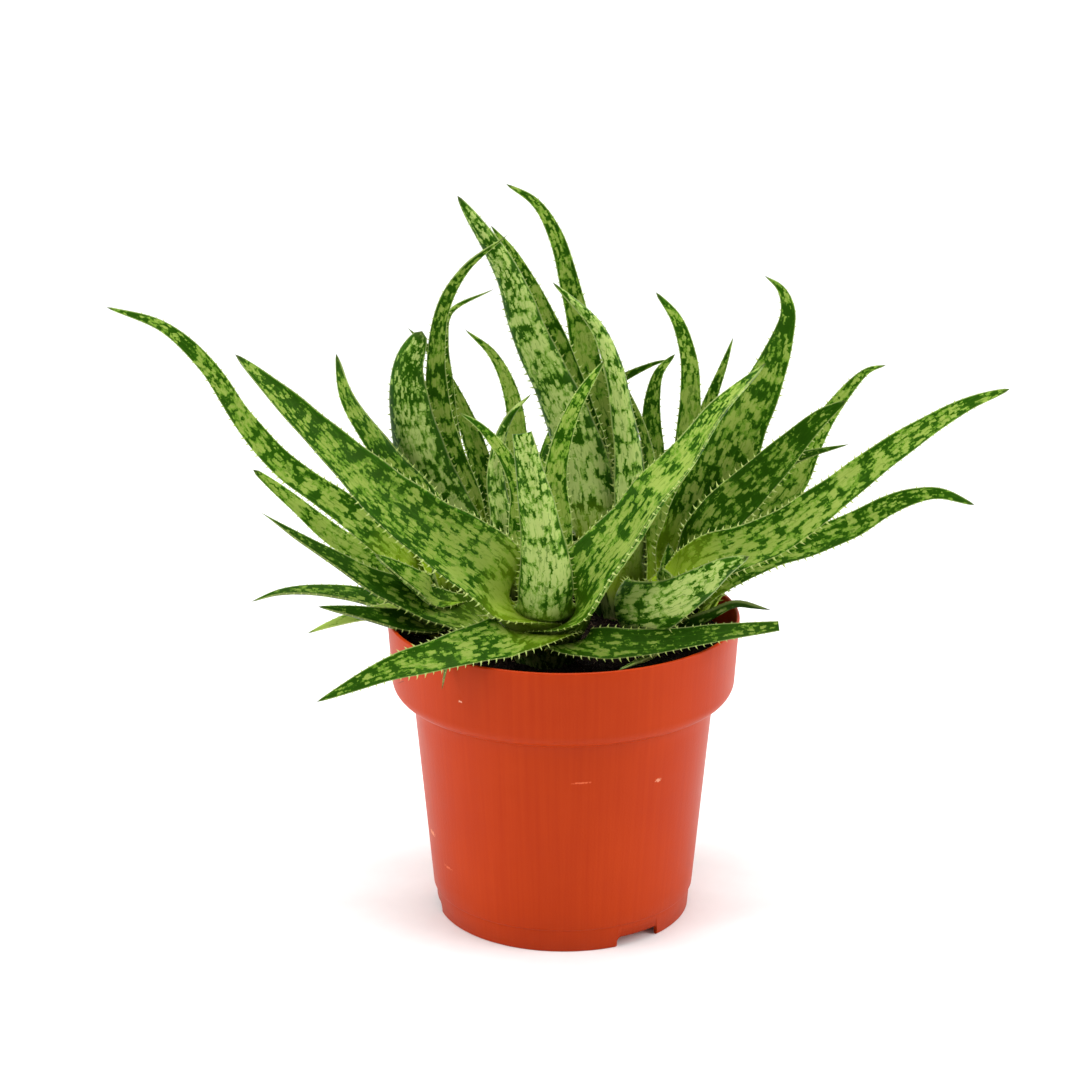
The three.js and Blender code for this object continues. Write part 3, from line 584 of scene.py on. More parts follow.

# Each leaf: name, its stem, the height of its root, its full width, how far its upper face is
# turned to the front at the root and at the tip (degrees), the points of its midrib, options.
# Options of shape: "taper" is how soon it narrows, "cut" the share of its length that is left
# where its end is lost, "foot" the place that its base clasps where that isn't its stem,
# "layer" the radius and "base" the half width of that base, "clasp" and "twist" the lengths
# over which it opens and turns, "thick" its greatest thickness, "dish" the depth of its channel.
# Options of colour: with a higher tone a leaf has fewer blotches and is painted lighter, as painted
# light shining through it, and with a lower one it is painted darker, as painted shade; "glow" is
# the strength of the yellow at its base, partly painted light that shines through it.
LEAVES = [
    ("left_long", "left", 110.5, 11.5, (40, 50), [(-56, 7, 123), (-74, 11, 138), (-96, 14, 154),
     (-109, 16, 169), (-121, 17, 188), (-135, 18, 201), (-154, 18, 208)], {"taper": 0.6, "tone_and_painted_light": 0.01}),
    ("left_shaded", "left", 105, 9.5, (35, 40), [(-53, 14, 112.5), (-62, 16, 117.5), (-78, 19, 126),
     (-94, 22, 139), (-107, 24, 149.5)], {"taper": 0.45, "tone_and_painted_light": 0.12}),
    ("left_wide", "left", 105, 15, (30, 40), [(-37, -11, 109), (-46, -11, 112), (-55, -12, 116.5),
     (-64, -13, 121), (-75, -16, 129.4), (-88, -19, 139), (-100, -22, 148.5)], {"foot": (-16, -12),
     "layer": 11, "base": 1.2, "taper": 1.1, "clasp": 14, "twist": 10, "tone_and_painted_light": -0.1}),
    ("left_flat", "left", 102, 8.5, (25, 25), [(-52, 0, 106), (-60, -2, 109.5), (-68, -4, 112.8),
     (-76, -6, 115), (-87, -8, 116.5), (-96, -9, 116), (-105.3, -10, 113)], {"tone_and_painted_light": -0.08}),
    ("left_short", "left", 104.5, 10, (30, 30), [(-46, -11, 104), (-52, -13, 106.5), (-58, -16.5, 109),
     (-65.4, -22, 112.7), (-72.7, -28, 116.3), (-80.7, -33, 119.3)], {"tone_and_painted_light": -0.15}),
    ("left_low", "left", 100, 8, (35, 35), [(-50, -4, 106.5), (-59, -8, 108.5), (-68, -13, 109.2),
     (-77.5, -18, 108), (-85.5, -22, 106)], {"tone_and_painted_light": 0.5}),
    ("left_steep", "left", 117, 16, (60, 70), [(-46, 15, 139), (-61, 16, 159), (-73, 17, 177),
     (-77, 18, 192)], {"taper": 0.65}),
    ("left_bud", "left", 111, 13, (60, 55), [(-47, -10, 118), (-56, -12, 125.5), (-63, -13, 131)],
     {"tone_and_painted_light": 0.05, "base": 1.1, "clasp": 10, "twist": 8}),
    ("left_rear", "left", 100, 9, (0, 0), [(-46, 23, 109), (-58, 42, 115), (-72, 54, 109)], {}),
    ("back_broad", "back", 106, 22, (-54, -54), [(-37, 18, 126), (-44, 19, 142), (-50, 19, 159),
     (-53, 20, 175), (-53, 21, 187), (-48, 22, 199)], {"taper": 0.4, "tone_and_painted_light": -0.01}),
    ("back_arched", "back", 115, 11, (75, 75), [(-34, 26, 138), (-42, 28, 164), (-44, 27, 184),
     (-41, 24, 207), (-33, 21, 221), (-19, 17, 233)], {}),
    ("back_hidden", "back", 112, 11, (20, 20), [(-25, 37, 131), (-31, 40, 155), (-36, 41, 168),
     (-47, 42, 188), (-54, 43, 195)], {}),
    ("back_thin", "back", 105, 7, (60, 60), [(-33, 32, 129), (-38, 34, 157), (-40, 35, 178),
     (-41, 36, 192), (-39, 37, 202), (-24, 38, 210)], {}),
    ("back_narrow", "back", 118, 11, (50, 50), [(-17, 30, 142), (-17, 30, 171), (-24, 32, 188),
     (-34, 33, 197)], {"tone_and_painted_light": 0.12}),
    ("back_inner", "back", 118, 9, (8, 0), [(-21, 10, 136), (-23, 12, 149), (-22, 12, 162), (-18, 13, 172),
     (-11, 15, 179)], {}),
    ("back_rear", "back", 100.5, 13, (0, 0), [(-26, 48, 113), (-34, 73, 129), (-41, 98, 127)], {}),
    ("back_side", "back", 99.5, 12, (0, 0), [(-43, 35, 112), (-64, 49, 126), (-88, 59, 125)], {}),
    ("back_upright", "back", 107, 10, (0, 0), [(-10, 42, 131), (-3, 56, 155), (6, 71, 165)], {}),
    ("middle_tall", "middle", 115.5, 19, (-45, -62), [(9, 18, 137), (7, 20, 149), (-1, 23, 173),
     (-11.5, 25, 196), (-20, 27, 219), (-36, 29, 244)], {"taper": 0.6}),
    ("middle_second", "middle", 119, 19, (65, 65), [(8, 30, 146), (4.5, 34, 164), (-5.5, 35, 196),
     (-17, 37, 221), (-25, 38, 232)], {"tone_and_painted_light": 0.05}),
    ("middle_high", "middle", 109.5, 13, (20, 27), [(16, 38, 151), (10, 40, 176), (3, 42, 207),
     (-3, 43, 228), (-10, 44, 239), (-20, 45, 245)], {"taper": 0.6, "tone_and_painted_light": 0.1}),
    ("middle_front", "middle", 109, 12, (-6, 0), [(23, 12, 138), (22, 15, 159), (20, 16, 171),
     (17, 17, 187), (11, 20, 201), (-4, 22, 216)], {"taper": 0.65, "tone_and_painted_light": 0.06}),
    ("middle_arched", "middle", 102, 9.5, (30, 30), [(3, 40, 133), (4, 47, 153), (14, 49, 171),
     (30, 51, 180), (38, 52, 182)], {"tone_and_painted_light": -0.15}),
    ("middle_right", "middle", 107, 12, (35, 35), [(31, 34, 147), (30.5, 38, 163), (31, 40, 172),
     (33, 41, 180), (38.5, 43, 186)], {"taper": 0.6}),
    ("middle_dark", "middle", 118, 7, (75, 75), [(28, 21, 138), (30, 25, 148), (28, 29, 160),
     (19, 33, 182)], {}),
    ("middle_rear", "middle", 99.5, 14, (0, 0), [(19, 48, 113), (20, 74, 129), (22, 102, 122)], {}),
    ("middle_side", "middle", 101, 12, (0, 0), [(43, 38, 117), (60, 55, 130), (80, 72, 124)], {}),
    ("front_left", "front", 111, 29, (65, 65), [(-23, -31, 127), (-43, -37, 144), (-58, -42, 158),
     (-72, -46, 174), (-86, -49, 190), (-103, -51, 209)], {"layer": 12.5, "base": 0.8, "dish": 0.36,
     "clasp": 12, "taper": 0.7, "tone_and_painted_light": -0.04, "glow": 1.2}),
    ("front_right", "front", 108, 27, (65, 65), [(8, -31, 125.5), (22, -31, 145), (30, -32, 158),
     (40, -31, 170), (50, -29, 185), (65, -25, 200)], {"taper": 0.8, "layer": 14.5, "base": 0.8,
     "dish": 0.36, "clasp": 9, "tone_and_painted_light": 0.09, "glow": 0.2}),
    ("front_cut", "front", 112, 17.6, (0, 0), [(-6, -34.5, 119), (-5.7, -39, 127), (-6, -43, 138),
     (-8, -47, 154), (-11, -50, 171), (-13.5, -52, 185)], {"cut": 0.6, "taper": 1.5, "layer": 8.8,
     "base": 0.85, "thick": 7, "tone_and_painted_light": 0.055, "glow": 0.8}),
    ("front_inner", "front", 116, 10.5, (35, 35), [(-2, -12, 141), (-3, -11, 152), (-2.5, -10, 160.4),
     (-0.8, -8, 168.3), (2.2, -6, 177), (6.3, -3, 184.5), (13.4, 2, 194)], {"taper": 0.6, "tone_and_painted_light": 0.08}),
    ("front_rear", "front", 114, 10.5, (50, 50), [(-14, -10, 140), (-14, -9, 150), (-16.7, -8, 158.3),
     (-21.5, -5, 165.9), (-28.4, -2, 172.7), (-35.2, 1, 176.3)], {"tone_and_painted_light": 0.05}),
    ("front_trailing", "front", 110, 16, (35, 45), [(-17, -42, 111.5), (-30, -51, 111.5), (-43, -58, 110),
     (-55, -62, 108), (-79, -65, 98)], {"layer": 17, "base": 1.3, "tone_and_painted_light": -0.05}),
    ("front_broken", "front", 106, 11, (55, 50), [(7, -40, 108.5), (13, -41, 109), (25, -40, 109),
     (39, -38, 110), (50, -37, 111.5), (60, -36, 112.5), (72, -36, 114)], {"cut": 0.8, "layer": 18,
     "base": 1.3, "taper": 0.85, "tone_and_painted_light": -0.14}),
    ("right_long", "right", 115, 16.5, (50, 55), [(47, -11, 127.5), (58, -14, 132.5), (72, -15, 139),
     (85, -16, 149), (109, -17, 169), (131, -18, 184), (145, -19, 190)], {"taper": 0.6, "foot": (23, -7),
     "layer": 13, "base": 1.1, "clasp": 16, "tone_and_painted_light": 0.04}),
    ("right_lower", "right", 104, 13, (55, 65), [(50, 2, 116), (59, 4, 121.5), (69.4, 6, 125.5),
     (84, 9, 128.5), (98.5, 12, 133.5), (110, 14, 139.7), (119, 15, 143), (128, 15.5, 144),
     (140.5, 16, 139.8)], {"taper": 0.6, "tone_and_painted_light": -0.03}),
    ("right_dark", "right", 121, 17, (65, 65), [(52, 5, 138), (61, 7, 147), (70, 8, 156), (86, 10, 172),
     (95, 11, 178)], {"taper": 0.6, "tone_and_painted_light": -0.12}),
    ("right_pale", "right", 107.5, 15, (55, 60), [(53, 13, 117), (63, 18, 129), (78, 21, 147),
     (84, 23, 159), (90, 25, 169), (103, 27, 184), (110, 28, 186)], {"tone_and_painted_light": 0.07}),
    ("right_hooked", "right", 115, 26.5, (40, 50), [(47, 13, 133), (52, 15, 147), (57, 16, 160),
     (61.5, 17, 171), (67.5, 18, 183), (73, 19, 197), (75, 19, 207), (72.5, 19, 214.5), (67, 19, 219)],
     {"taper": 0.9}),
    ("right_bud", "right", 122, 8, (45, 45), [(55, 9, 138), (68, 14, 150), (80, 16, 156.5), (97, 17, 161)],
     {"tone_and_painted_light": -0.2}),
    ("right_bulging", "right", 113, 23, (75, 70), [(21, -27, 115.5), (31, -37, 121), (42.5, -41, 129),
     (52, -41.5, 136), (60, -42, 140)], {"layer": 13, "base": 0.3, "thick": 6.5, "taper": 0.7, "clasp": 20,
     "tone_and_painted_light": 0.06, "glow": 0.4}),
    ("right_upper", "right", 111.5, 11.5, (0, 0), [(33.5, 18, 134), (41, 27, 150), (43, 28, 180),
     (42, 28, 190), (38, 28, 202), (31, 29, 211)], {"taper": 0.55, "tone_and_painted_light": 0.12}),
    ("right_spare", "right", 104.5, 11, (10, 10), [(41, 30, 137), (49, 33, 168), (55, 34, 185),
     (58, 35, 194)], {"tone_and_painted_light": 0.05}),
    ("right_small", "right", 101, 8, (15, 15), [(43, -11, 106), (50, -11, 110), (58, -11, 113.5),
     (69.5, -12, 111.4)], {"tone_and_painted_light": -0.25}),
    ("right_rear", "right", 99.5, 10, (0, 0), [(46, 25, 109), (64, 44, 118), (82, 56, 110)], {}),
]


def smoothstep(value, low, high):
    t = min(1.0, max(0.0, (value - low) / (high - low)))
    return t * t * (3 - 2 * t)


def mix(a, b, t):
    return a + (b - a) * t


def smooth_path(points, fineness=30):
    """Centripetal Catmull-Rom curve through the points, as many short steps."""
    knots = [2 * points[0] - points[1], *points, 2 * points[-1] - points[-2]]
    curve = []
    for before, a, b, after in zip(knots, knots[1:], knots[2:], knots[3:]):
        gaps = [max(1e-4, (q - p).length ** 0.5) for p, q in ((before, a), (a, b), (b, after))]
        leave = (a - before) / gaps[0] - (b - before) / (gaps[0] + gaps[1]) + (b - a) / gaps[1]
        arrive = (b - a) / gaps[1] - (after - a) / (gaps[1] + gaps[2]) + (after - b) / gaps[2]
        leave *= gaps[1]
        arrive *= gaps[1]
        for k in range(fineness):
            t = k / fineness
            curve.append((2 * t ** 3 - 3 * t ** 2 + 1) * a + (t ** 3 - 2 * t ** 2 + t) * leave
                         + (3 * t ** 2 - 2 * t ** 3) * b + (t ** 3 - t ** 2) * arrive)
    curve.append(points[-1])
    return curve


def walked(curve, end, step):
    """Places and directions along the curve at even distances, with those distances."""
    reach = [0.0]
    for a, b in zip(curve, curve[1:]):
        reach.append(reach[-1] + (b - a).length)
    total = reach[-1]
    count = max(6, round(total * end / step))
    rows = []
    place_on = 0
    for k in range(count + 1):
        far = total * end * k / count
        while place_on < len(reach) - 2 and reach[place_on + 1] < far:
            place_on += 1
        a, b = curve[place_on], curve[place_on + 1]
        share = (far - reach[place_on]) / max(1e-9, reach[place_on + 1] - reach[place_on])
        ahead = curve[min(place_on + 2, len(curve) - 1)]
        behind = curve[max(place_on - 1, 0)]
        rows.append((far, a.lerp(b, share), (ahead - behind).normalized()))
    return rows, total


def layer_of(row):
    """Radius at which a leaf's base clasps its stem: older, lower leaves lie further out."""
    older = sum(1 for other in LEAVES if other[1] == row[1] and other[2] > row[2])
    return FIRST_LAYER + LAYER_STEP * older


def leaf_mesh(
        name, crown, height, width, turn, path, seed, layer, foot=None, taper=TAPER, cut=1.0,
        base=BASE_SHARE, clasp=CLASP_LENGTH, twist=TWIST_LENGTH, thick=LEAF_THICKNESS, dish=LEAF_DISH):
    """One leaf as a closed blade, with the attributes that its skin and teeth follow."""
    chance = random.Random(seed)
    phases = [chance.uniform(0, 6.28) for _ in range(4)]
    axis = Vector((*(foot or crown[:2]), 0))
    first = Vector(path[0])
    out = Vector((first.x - axis.x, first.y - axis.y, 0))
    radius = min(layer, ROOT_REACH * out.length)
    out.normalize()
    sideways = Vector((-out.y, out.x, 0))
    low = axis + out * (0.5 * radius) + Vector((0, 0, BASE_LEVEL))
    root = axis + out * radius + Vector((0, 0, height - 0.5))
    curve = smooth_path([low, root, *[Vector(p) for p in path]])
    rows, total = walked(curve, CUT_END if cut < 1 else 1.0, RING_STEP)
    start = (root - low).length
    verts, faces, marks = [], [], []
    face = -out
    to_front = None
    for far, centre, tangent in rows:
        past = far - start
        s = min(1.0, max(0.0, past / (total - start)))
        face = (face - tangent * face.dot(tangent)).normalized()
        side = tangent.cross(face)
        if to_front is None:
            to_front = 1 if side.y < 0 else -1
        angle = math.radians(smoothstep(past, 0, twist) * mix(turn[0], turn[1], s))
        normal = face * math.cos(angle) + side * (to_front * math.sin(angle))
        across = tangent.cross(normal)
        sheath = 1 - smoothstep(past, -SHEATH_LENGTH, 3)
        left_over = (1 - s * cut) / FULL_WIDTH_REACH
        half = width / 2 * min(1.0, left_over) ** taper
        hold = min(1.5 * radius, base * width)
        half = mix(hold, half, smoothstep(past, 0, clasp))
        half *= 1 + 0.025 * math.sin(far / 7 + phases[0]) + 0.015 * math.sin(far / 2.9 + phases[1])
        body = min(thick, 1.8 + 0.25 * width) * mix(0.55, 1.0, smoothstep(past, -4, 14))
        body = mix(body, TIP_THICKNESS, s ** 1.3) * min(1.0, (2 * half + 0.3) / 3)
        open_share = smoothstep(past, -2, clasp)
        plan = min(radius + 4, (centre - axis - Vector((0, 0, centre.z))).length)
        bend = min(half / max(plan, radius), 2.4)
        for k in range(AROUND):
            upper = k <= HALF_SECTION
            step_across = k if upper else AROUND - k
            p = -math.cos(math.pi * step_across / HALF_SECTION)
            p = 0.55 * p + 0.45 * (2 * step_across / HALF_SECTION - 1)
            rise = dish * half * abs(p) ** 2.2 * (1 + 0.12 * math.sin(far / 9 + phases[2] + 2 * p))
            lift = 0.3 * body * (1 - p * p) if upper else -0.7 * body * max(0.0, 1 - abs(p) ** 2.4) ** 0.7
            flat = across * (p * half) + normal * (rise + lift)
            reach_round = plan - lift
            clasped = out * (reach_round * math.cos(p * bend) - plan)
            clasped -= sideways * (reach_round * math.sin(p * bend))
            verts.append((centre + clasped.lerp(flat, open_share)) * MM)
            marks.append({
                "blade_place": (p * half, far, lift + seed * PATTERN_STEP),
                "along": s,
                "from_margin": half * (1 - abs(p)),
                "under": 0.0 if upper else 1.0,
                "from_tip": total * (1 - s * cut),
                "sheath": sheath,
                "outward": tuple((across * (-1 if p < 0 else 1) - normal * TOOTH_DROOP).normalized()),
                "growth": tuple(tangent),
            })
    count = len(rows)
    for ring in range(count - 1):
        for k in range(AROUND):
            after = (k + 1) % AROUND
            faces.append((ring * AROUND + k, ring * AROUND + after,
                          (ring + 1) * AROUND + after, (ring + 1) * AROUND + k))
    faces.append(tuple(reversed(range(AROUND))))
    last = (count - 1) * AROUND
    faces.append(tuple(last + k for k in range(AROUND)))
    made = mesh_object(f"blade_{name}", verts, faces)
    mesh = made.data
    for label, sample in marks[0].items():
        number_only = isinstance(sample, float)
        kept = mesh.attributes.new(label, "FLOAT" if number_only else "FLOAT_VECTOR", "POINT")
        values = np.array([mark[label] for mark in marks], dtype=np.float32)
        kept.data.foreach_set("value" if number_only else "vector", values.ravel())
    ends = np.empty(2 * len(mesh.edges), dtype=np.int32)
    mesh.edges.foreach_get("vertices", ends)
    ends = ends.reshape(-1, 2)
    lengthways = np.abs(ends[:, 0] - ends[:, 1]) == AROUND
    on_margin = (ends[:, 0] % AROUND == 0) | (ends[:, 0] % AROUND == HALF_SECTION)
    shares = np.array([mark["along"] for mark in marks])[ends].max(axis=1)
    last_tooth = BARE_TIP if cut == 1.0 else 1.1
    toothed = lengthways & on_margin & (shares < last_tooth) & (shares > 0.0)
    edge_marks = mesh.attributes.new("toothed", "BOOLEAN", "EDGE")
    edge_marks.data.foreach_set("value", toothed)
    return made


# Waxy leaf skin: pale green flesh under a cuticle, blotched dark green. The blotches lie in
# rows along the leaf and crowd towards its tip; each one has a soft green rim. The margin has a
# dark band, painted shade of the rim that turns up, and a thin pale line. The base is yellow,
# painted brighter as painted light shining through it, and the tip is dry and dark. Each leaf is
# also painted lighter or darker as a whole, as painted light and shade, and the sheath at its
# foot is painted darker, as painted shade.
SPOT_ACROSS = 1.7        # mm
SPOT_ALONG = 4.3         # mm
DOT_ACROSS = 1.3         # mm, the small pale dots in the dark parts
DOT_ALONG = 2.6          # mm
FLECK_ACROSS = 0.9       # mm, the small dark flecks in the pale parts
FLECK_ALONG = 2.8        # mm
STREAK = 0.5             # mm across, drawn a little coarse so that it shows
BAND = 10.0              # mm between the darker bands across a leaf
FLESH_SCATTER = (0.6, 1.0, 0.25)         # red, green and blue light go this far into the flesh
skin, tree, shader = finish_material("waxy leaf skin")
straight = add(tree, "Attribute", attribute_name="blade_place").outputs["Vector"]
along, from_margin, under, from_tip, tone_and_painted_light, sheath, glow_share = (
    add(tree, "Attribute", attribute_name=label).outputs["Fac"]
    for label in ("along", "from_margin", "under", "from_tip", "tone_and_painted_light", "sheath", "glow"))

ragged = add(tree, "TexNoise", {
    "Vector": straight, "Scale": 0.75, "Detail": 2.0, "Roughness": 0.6}).outputs["Color"]
centred = add(tree, "VectorMath", [ragged, (0.5, 0.5, 0.5)], operation="SUBTRACT")
spread = add(tree, "VectorMath", [centred, (1.4, 4.2, 1.0)], operation="MULTIPLY")
shaken = add(tree, "VectorMath", [straight, spread], operation="ADD")
spot_place = add(tree, "VectorMath", [
    shaken, (1 / SPOT_ACROSS, 1 / SPOT_ALONG, 0.35)], operation="MULTIPLY")
broad_spot = add(tree, "TexVoronoi", {
    "Vector": spot_place, "Scale": 1.0, "Randomness": 0.95}, distance="CHEBYCHEV")
small_spot = add(tree, "TexVoronoi", {
    "Vector": spot_place, "Scale": 1.5, "Randomness": 0.9}, distance="CHEBYCHEV")
tipward = add(tree, "MapRange", [along, 0.45, 0.75])
spot = add(tree, "Mix", {"Factor": tipward, "A": broad_spot, "B": small_spot})
band_place = add(tree, "VectorMath", [straight, (0.6 / BAND, 1 / BAND, 0.04)], operation="MULTIPLY")
band = add(tree, "TexNoise", {"Vector": band_place, "Scale": 1.6, "Detail": 2.0, "Roughness": 0.55})
pale_reach = add(tree, "MapRange", [along, 0.1, 0.85, 0.49, 0.39])
banded = add(tree, "Math", [band, -1.0, 0.5], operation="MULTIPLY_ADD")
limit = add(tree, "Math", [pale_reach, banded], operation="ADD")
facing = add(tree, "Math", [under, 0.05, tone_and_painted_light], operation="MULTIPLY_ADD")
base_near = add(tree, "MapRange", [along, 0.12, 0.42, 1.0, 0.0])
less_glow = add(tree, "Math", [glow_share, 0.3, -0.3], operation="MULTIPLY_ADD")
base_tone = add(tree, "Math", [base_near, less_glow, facing], operation="MULTIPLY_ADD")
toned = add(tree, "Math", [limit, base_tone], operation="ADD")
aside = add(tree, "SeparateXYZ", [straight]).outputs[0]
off_midrib = add(tree, "Math", [aside], operation="ABSOLUTE")
half_width = add(tree, "Math", [off_midrib, from_margin], operation="ADD")
margin_share = add(tree, "Math", [from_margin, half_width], operation="DIVIDE")
# Painted shade: a darker band along each margin stands in for the shade of the rim that turns up.
margin_dark = add(tree, "MapRange", [margin_share, 0.06, 0.32, 0.25, 0.0])
tip_dark = add(tree, "MapRange", [from_tip, 6.0, 24.0, 0.13, 0.0])
darkened = add(tree, "Math", [margin_dark, tip_dark], operation="ADD")
closing = add(tree, "Math", [toned, darkened], operation="SUBTRACT")
over_spot = add(tree, "Math", [spot, closing], operation="SUBTRACT")
dot_place = add(tree, "VectorMath", [shaken, (1 / DOT_ACROSS, 1 / DOT_ALONG, 0.5)], operation="MULTIPLY")
dot = add(tree, "TexVoronoi", {"Vector": dot_place, "Scale": 1.0, "Randomness": 0.8}, distance="CHEBYCHEV")
dot_limit = add(tree, "Math", [toned, 0.45], operation="MULTIPLY")
over_dot = add(tree, "Math", [dot, dot_limit], operation="SUBTRACT")
over = add(tree, "Math", [over_spot, over_dot], operation="MINIMUM")
dark_share = add(tree, "MapRange", [over, -0.04, 0.08], interpolation_type="SMOOTHSTEP")
halo_share = add(tree, "MapRange", [over, -0.16, 0.0, 0.0, 0.8], interpolation_type="SMOOTHSTEP")

streak_place = add(tree, "VectorMath", [straight, (1 / STREAK, 0.12 / STREAK, 0.4)], operation="MULTIPLY")
streak = add(tree, "TexNoise", {"Vector": streak_place, "Scale": 1.0, "Detail": 2.0})
streaked = add(tree, "MapRange", [streak, 0.56, 0.7, 0.0, 0.45])
cloudy = add(tree, "TexNoise", {"Vector": straight, "Scale": 0.09, "Detail": 2.0})
pale = add(tree, "Mix", {"Factor": cloudy, "A": "#768f34", "B": "#93a550"}, data_type="RGBA")
fleck_place = add(tree, "VectorMath", [
    shaken, (1 / FLECK_ACROSS, 1 / FLECK_ALONG, 0.6)], operation="MULTIPLY")
fleck = add(tree, "TexVoronoi", {"Vector": fleck_place, "Scale": 1.0})
fleck_share = add(tree, "MapRange", [fleck, 0.66, 0.82, 0.0, 0.7])
deep = add(tree, "Mix", {"Factor": band, "A": "#285404", "B": "#153803"}, data_type="RGBA")
deep_streaked = add(tree, "Mix", {"Factor": streaked, "A": deep, "B": "#3a6812"}, data_type="RGBA")
# Partly painted light: the base's own yellow is painted stronger as a glow where light shines through the
# flesh, and weaker on leaves and sheaths painted as shaded.
base_share = add(tree, "MapRange", [along, 0.02, 0.2, 0.85, 0.0])
lit = add(tree, "MapRange", [tone_and_painted_light, -0.12, 0.0, 0.1, 1.0])
own_glow = add(tree, "Math", [lit, glow_share], operation="MULTIPLY")
open_base = add(tree, "Math", [sheath, -1.0, 1.0], operation="MULTIPLY_ADD")
lit_base = add(tree, "Math", [own_glow, open_base], operation="MULTIPLY")
glow = add(tree, "Math", [base_share, lit_base], operation="MULTIPLY")
line_share = add(tree, "MapRange", [from_margin, 0.12, 0.42, 0.45, 0.0])
dry_share = add(tree, "MapRange", [from_tip, 0.8, 4.0, 0.85, 0.0])

# The colours that lie over the pale flesh, from the lowest to the highest: the paler lower face,
# streaks, flecks, the blotches' rims, the blotches, the base's glow, the margin's line, the tip.
OVER_FLESH = [
    (under, "#9aac60"), (streaked, "#4a7018"), (fleck_share, "#34600e"),
    (halo_share, "#56841a"), (dark_share, deep_streaked), (glow, "#92ae20"),
    (line_share, "#b9c878"), (dry_share, "#33401c"),
]
coloured = pale
for share, colour in OVER_FLESH:
    coloured = add(tree, "Mix", {"Factor": share, "A": coloured, "B": colour}, data_type="RGBA")
# Painted light and shade: each leaf's whole colour is scaled by its tone, darker for leaves that stand in
# shade and lighter than its own colour for leaves that light shines through.
painted_leaf_light = add(tree, "MapRange", [tone_and_painted_light, -0.25, 0.15, 0.58, 1.18])
# Painted shade: the sheath below the blade is darkened by up to three quarters, for the shade that falls on
# it under the leaves.
painted_sheath_shade = add(tree, "Math", [sheath, -0.75, 1.0], operation="MULTIPLY_ADD")
dimming = add(tree, "Math", [painted_leaf_light, painted_sheath_shade], operation="MULTIPLY")
dimmed = add(tree, "VectorMath", {0: coloured, 3: dimming}, operation="SCALE")
sheen = add(tree, "MapRange", [streak, 0.0, 1.0, 0.34, 0.5])
ridges = add(tree, "Math", [streak, dark_share], operation="ADD")
bump = add(tree, "Bump", {"Height": ridges, "Strength": 0.3, "Distance": 0.00025})
give(tree, shader, {
    "Base Color": dimmed, "Roughness": sheen, "Normal": bump, "IOR": 1.45, "Specular IOR Level": 0.12,
    "Specular Tint": "#cfe07a", "Subsurface Weight": 0.12, "Subsurface Radius": FLESH_SCATTER,
    "Subsurface Scale": 3 * MM})

# Teeth: soft cartilage of a pale, yellowish green.
tooth_skin, tree, shader = finish_material("leaf tooth cartilage")
place = add(tree, "TexCoord").outputs["Object"]
shade = add(tree, "TexNoise", {"Vector": place, "Scale": 1 / (6 * MM)})
cream = add(tree, "Mix", {"Factor": shade, "A": "#879b40", "B": "#b0bc6a"}, data_type="RGBA")
give(tree, shader, {
    "Base Color": cream, "Roughness": 0.45, "Subsurface Weight": 0.1, "Subsurface Radius": FLESH_SCATTER,
    "Subsurface Scale": 1 * MM})

TOOTH_PITCH = 2.5        # mm
TOOTH_HEIGHT = 1.7
TOOTH_BASE = 0.85

# One hooked cone for each pitch along a margin, set outwards and leaning to the tip. The teeth
# differ a little in size and grow smaller towards the tip.
teeth, given = shape_group("margin teeth", "Blade", {
    "Pitch": TOOTH_PITCH * MM, "Height": TOOTH_HEIGHT * MM, "Base": TOOTH_BASE * MM})
is_margin = add(teeth, "InputNamedAttribute", {"Name": "toothed"}, data_type="BOOLEAN")
margins = add(teeth, "MeshToCurve", {"Mesh": given["Blade"], "Selection": is_margin})
spaced = add(teeth, "ResampleCurve", {"Curve": margins, "Length": given["Pitch"]}, mode="LENGTH")
outward = add(teeth, "InputNamedAttribute", {"Name": "outward"}, data_type="FLOAT_VECTOR")
growth = add(teeth, "InputNamedAttribute", {"Name": "growth"}, data_type="FLOAT_VECTOR")
share = add(teeth, "InputNamedAttribute", {"Name": "along"}, data_type="FLOAT")
cone = add(teeth, "MeshCone", {
    "Vertices": 6, "Side Segments": 3, "Radius Top": 0.03, "Radius Bottom": 0.5, "Depth": 1.0})
where = add(teeth, "InputPosition")
high = add(teeth, "SeparateXYZ", [where]).outputs[2]
squared = add(teeth, "Math", [high, high], operation="MULTIPLY")
hook = add(teeth, "Math", [squared, 0.9], operation="MULTIPLY")
lean = add(teeth, "CombineXYZ", {0: hook, 2: -0.12})
hooked = add(teeth, "SetPosition", {"Geometry": cone, "Offset": lean})
narrow = add(teeth, "Math", [given["Base"], 0.6], operation="MULTIPLY")
size = add(teeth, "CombineXYZ", [given["Base"], narrow, given["Height"]])
tooth = add(teeth, "Transform", {"Geometry": hooked, "Scale": size})
pointing = add(teeth, "AlignRotationToVector", {"Vector": outward}, axis="Z")
facing = add(teeth, "AlignRotationToVector", {
    "Rotation": pointing, "Vector": growth}, axis="X", pivot_axis="Z")
varied = add(teeth, "RandomValue", {2: 0.7, 3: 1.25, "Seed": given["Seed"]}, data_type="FLOAT")
fading = add(teeth, "MapRange", [share, 0.35, 0.95, 1.0, 0.4])
scale = add(teeth, "Math", [varied, fading], operation="MULTIPLY")
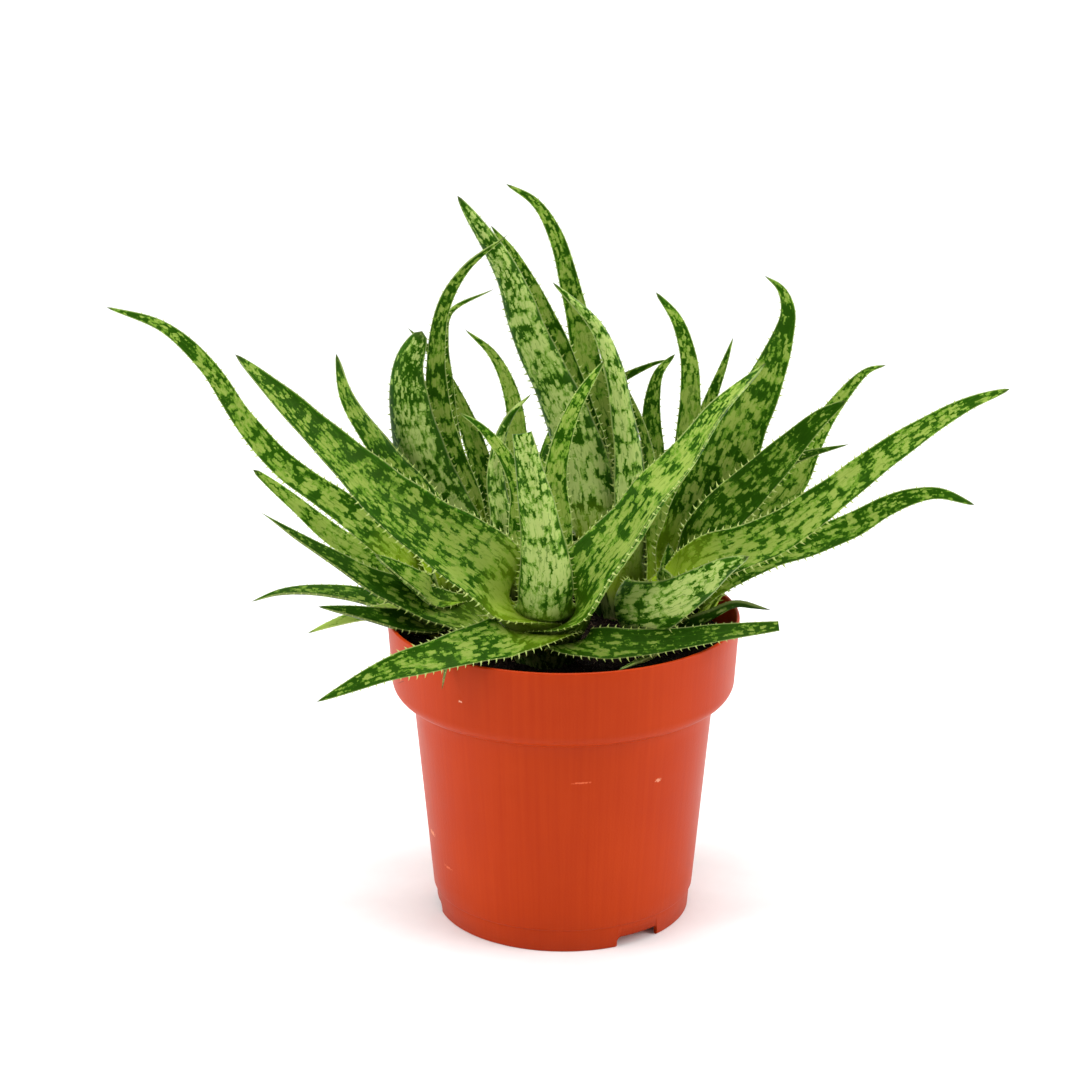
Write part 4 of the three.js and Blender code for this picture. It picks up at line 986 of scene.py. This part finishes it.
set_out = add(teeth, "InstanceOnPoints", {
    "Points": spaced, "Instance": tooth, "Rotation": facing, "Scale": scale})
join_to(teeth, given["Blade"], set_out, tooth_skin)

# Two small low leaves at the rim, and the heart of each offset: young leaves that are still
# closed round each other. Each next one lies further out and stands lower.
HEART_LEAVES = 4
GOLDEN_ANGLE = 137.5
hearts = [
    ("young_spike", "front", 101, 4.5, (0, 0), [(-20, -36, 106), (-31, -44, 109), (-37, -48.5, 106.5),
     (-39.5, -50.5, 97)], {"layer": 12, "tone_and_painted_light": -0.1}),
    ("young_low", "right", 100, 5, (0, 0), [(33, -20, 102), (29, -33, 103), (23, -43, 103.6),
     (17.5, -49, 103)], {"layer": 12, "tone_and_painted_light": 0.1}),
]
for crown_name, (x, y, top) in CROWNS.items():
    for k in range(HEART_LEAVES):
        turned_to = math.radians(GOLDEN_ANGLE * (k + len(crown_name)))
        heart_path = []
        for r, z in ((4.5 + 1.6 * k, top - 12), (6.5 + 2.4 * k, top - 1 - 2.5 * k)):
            heart_path.append((x + r * math.cos(turned_to), y + r * math.sin(turned_to), z))
        hearts.append((f"heart_{crown_name}_{k + 1}", crown_name, top - 16, 7.5, (0, 0), heart_path,
                       {"layer": 2.6 + k, "thick": 2.6}))

for number, row in enumerate(LEAVES + hearts):
    name, crown_name, root_height, width, turn, path, options = row
    shape = {"layer": layer_of(row), **options}
    look = {"tone_and_painted_light": shape.pop("tone_and_painted_light", 0.0), "glow": shape.pop("glow", 1.0)}
    blade = leaf_mesh(name, CROWNS[crown_name], root_height, width, turn, path, number + 1, **shape)
    for label, value in look.items():
        own = blade.data.attributes.new(label, "FLOAT", "POINT")
        own.data.foreach_set("value", [value] * len(blade.data.vertices))
    blade.data.materials.append(skin)
    blade.data.materials.append(tooth_skin)
    small = min(1.0, 0.45 + width / 28)      # narrow leaves have smaller, closer teeth
    grow(blade, teeth, {
        "Pitch": TOOTH_PITCH * MM * (0.8 + 0.25 * small), "Height": TOOTH_HEIGHT * MM * small,
        "Base": TOOTH_BASE * MM * small, "Seed": number})
    baked(blade)
    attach(blade, "root")
    if row in LEAVES:
        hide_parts(f"leaf_{name}")
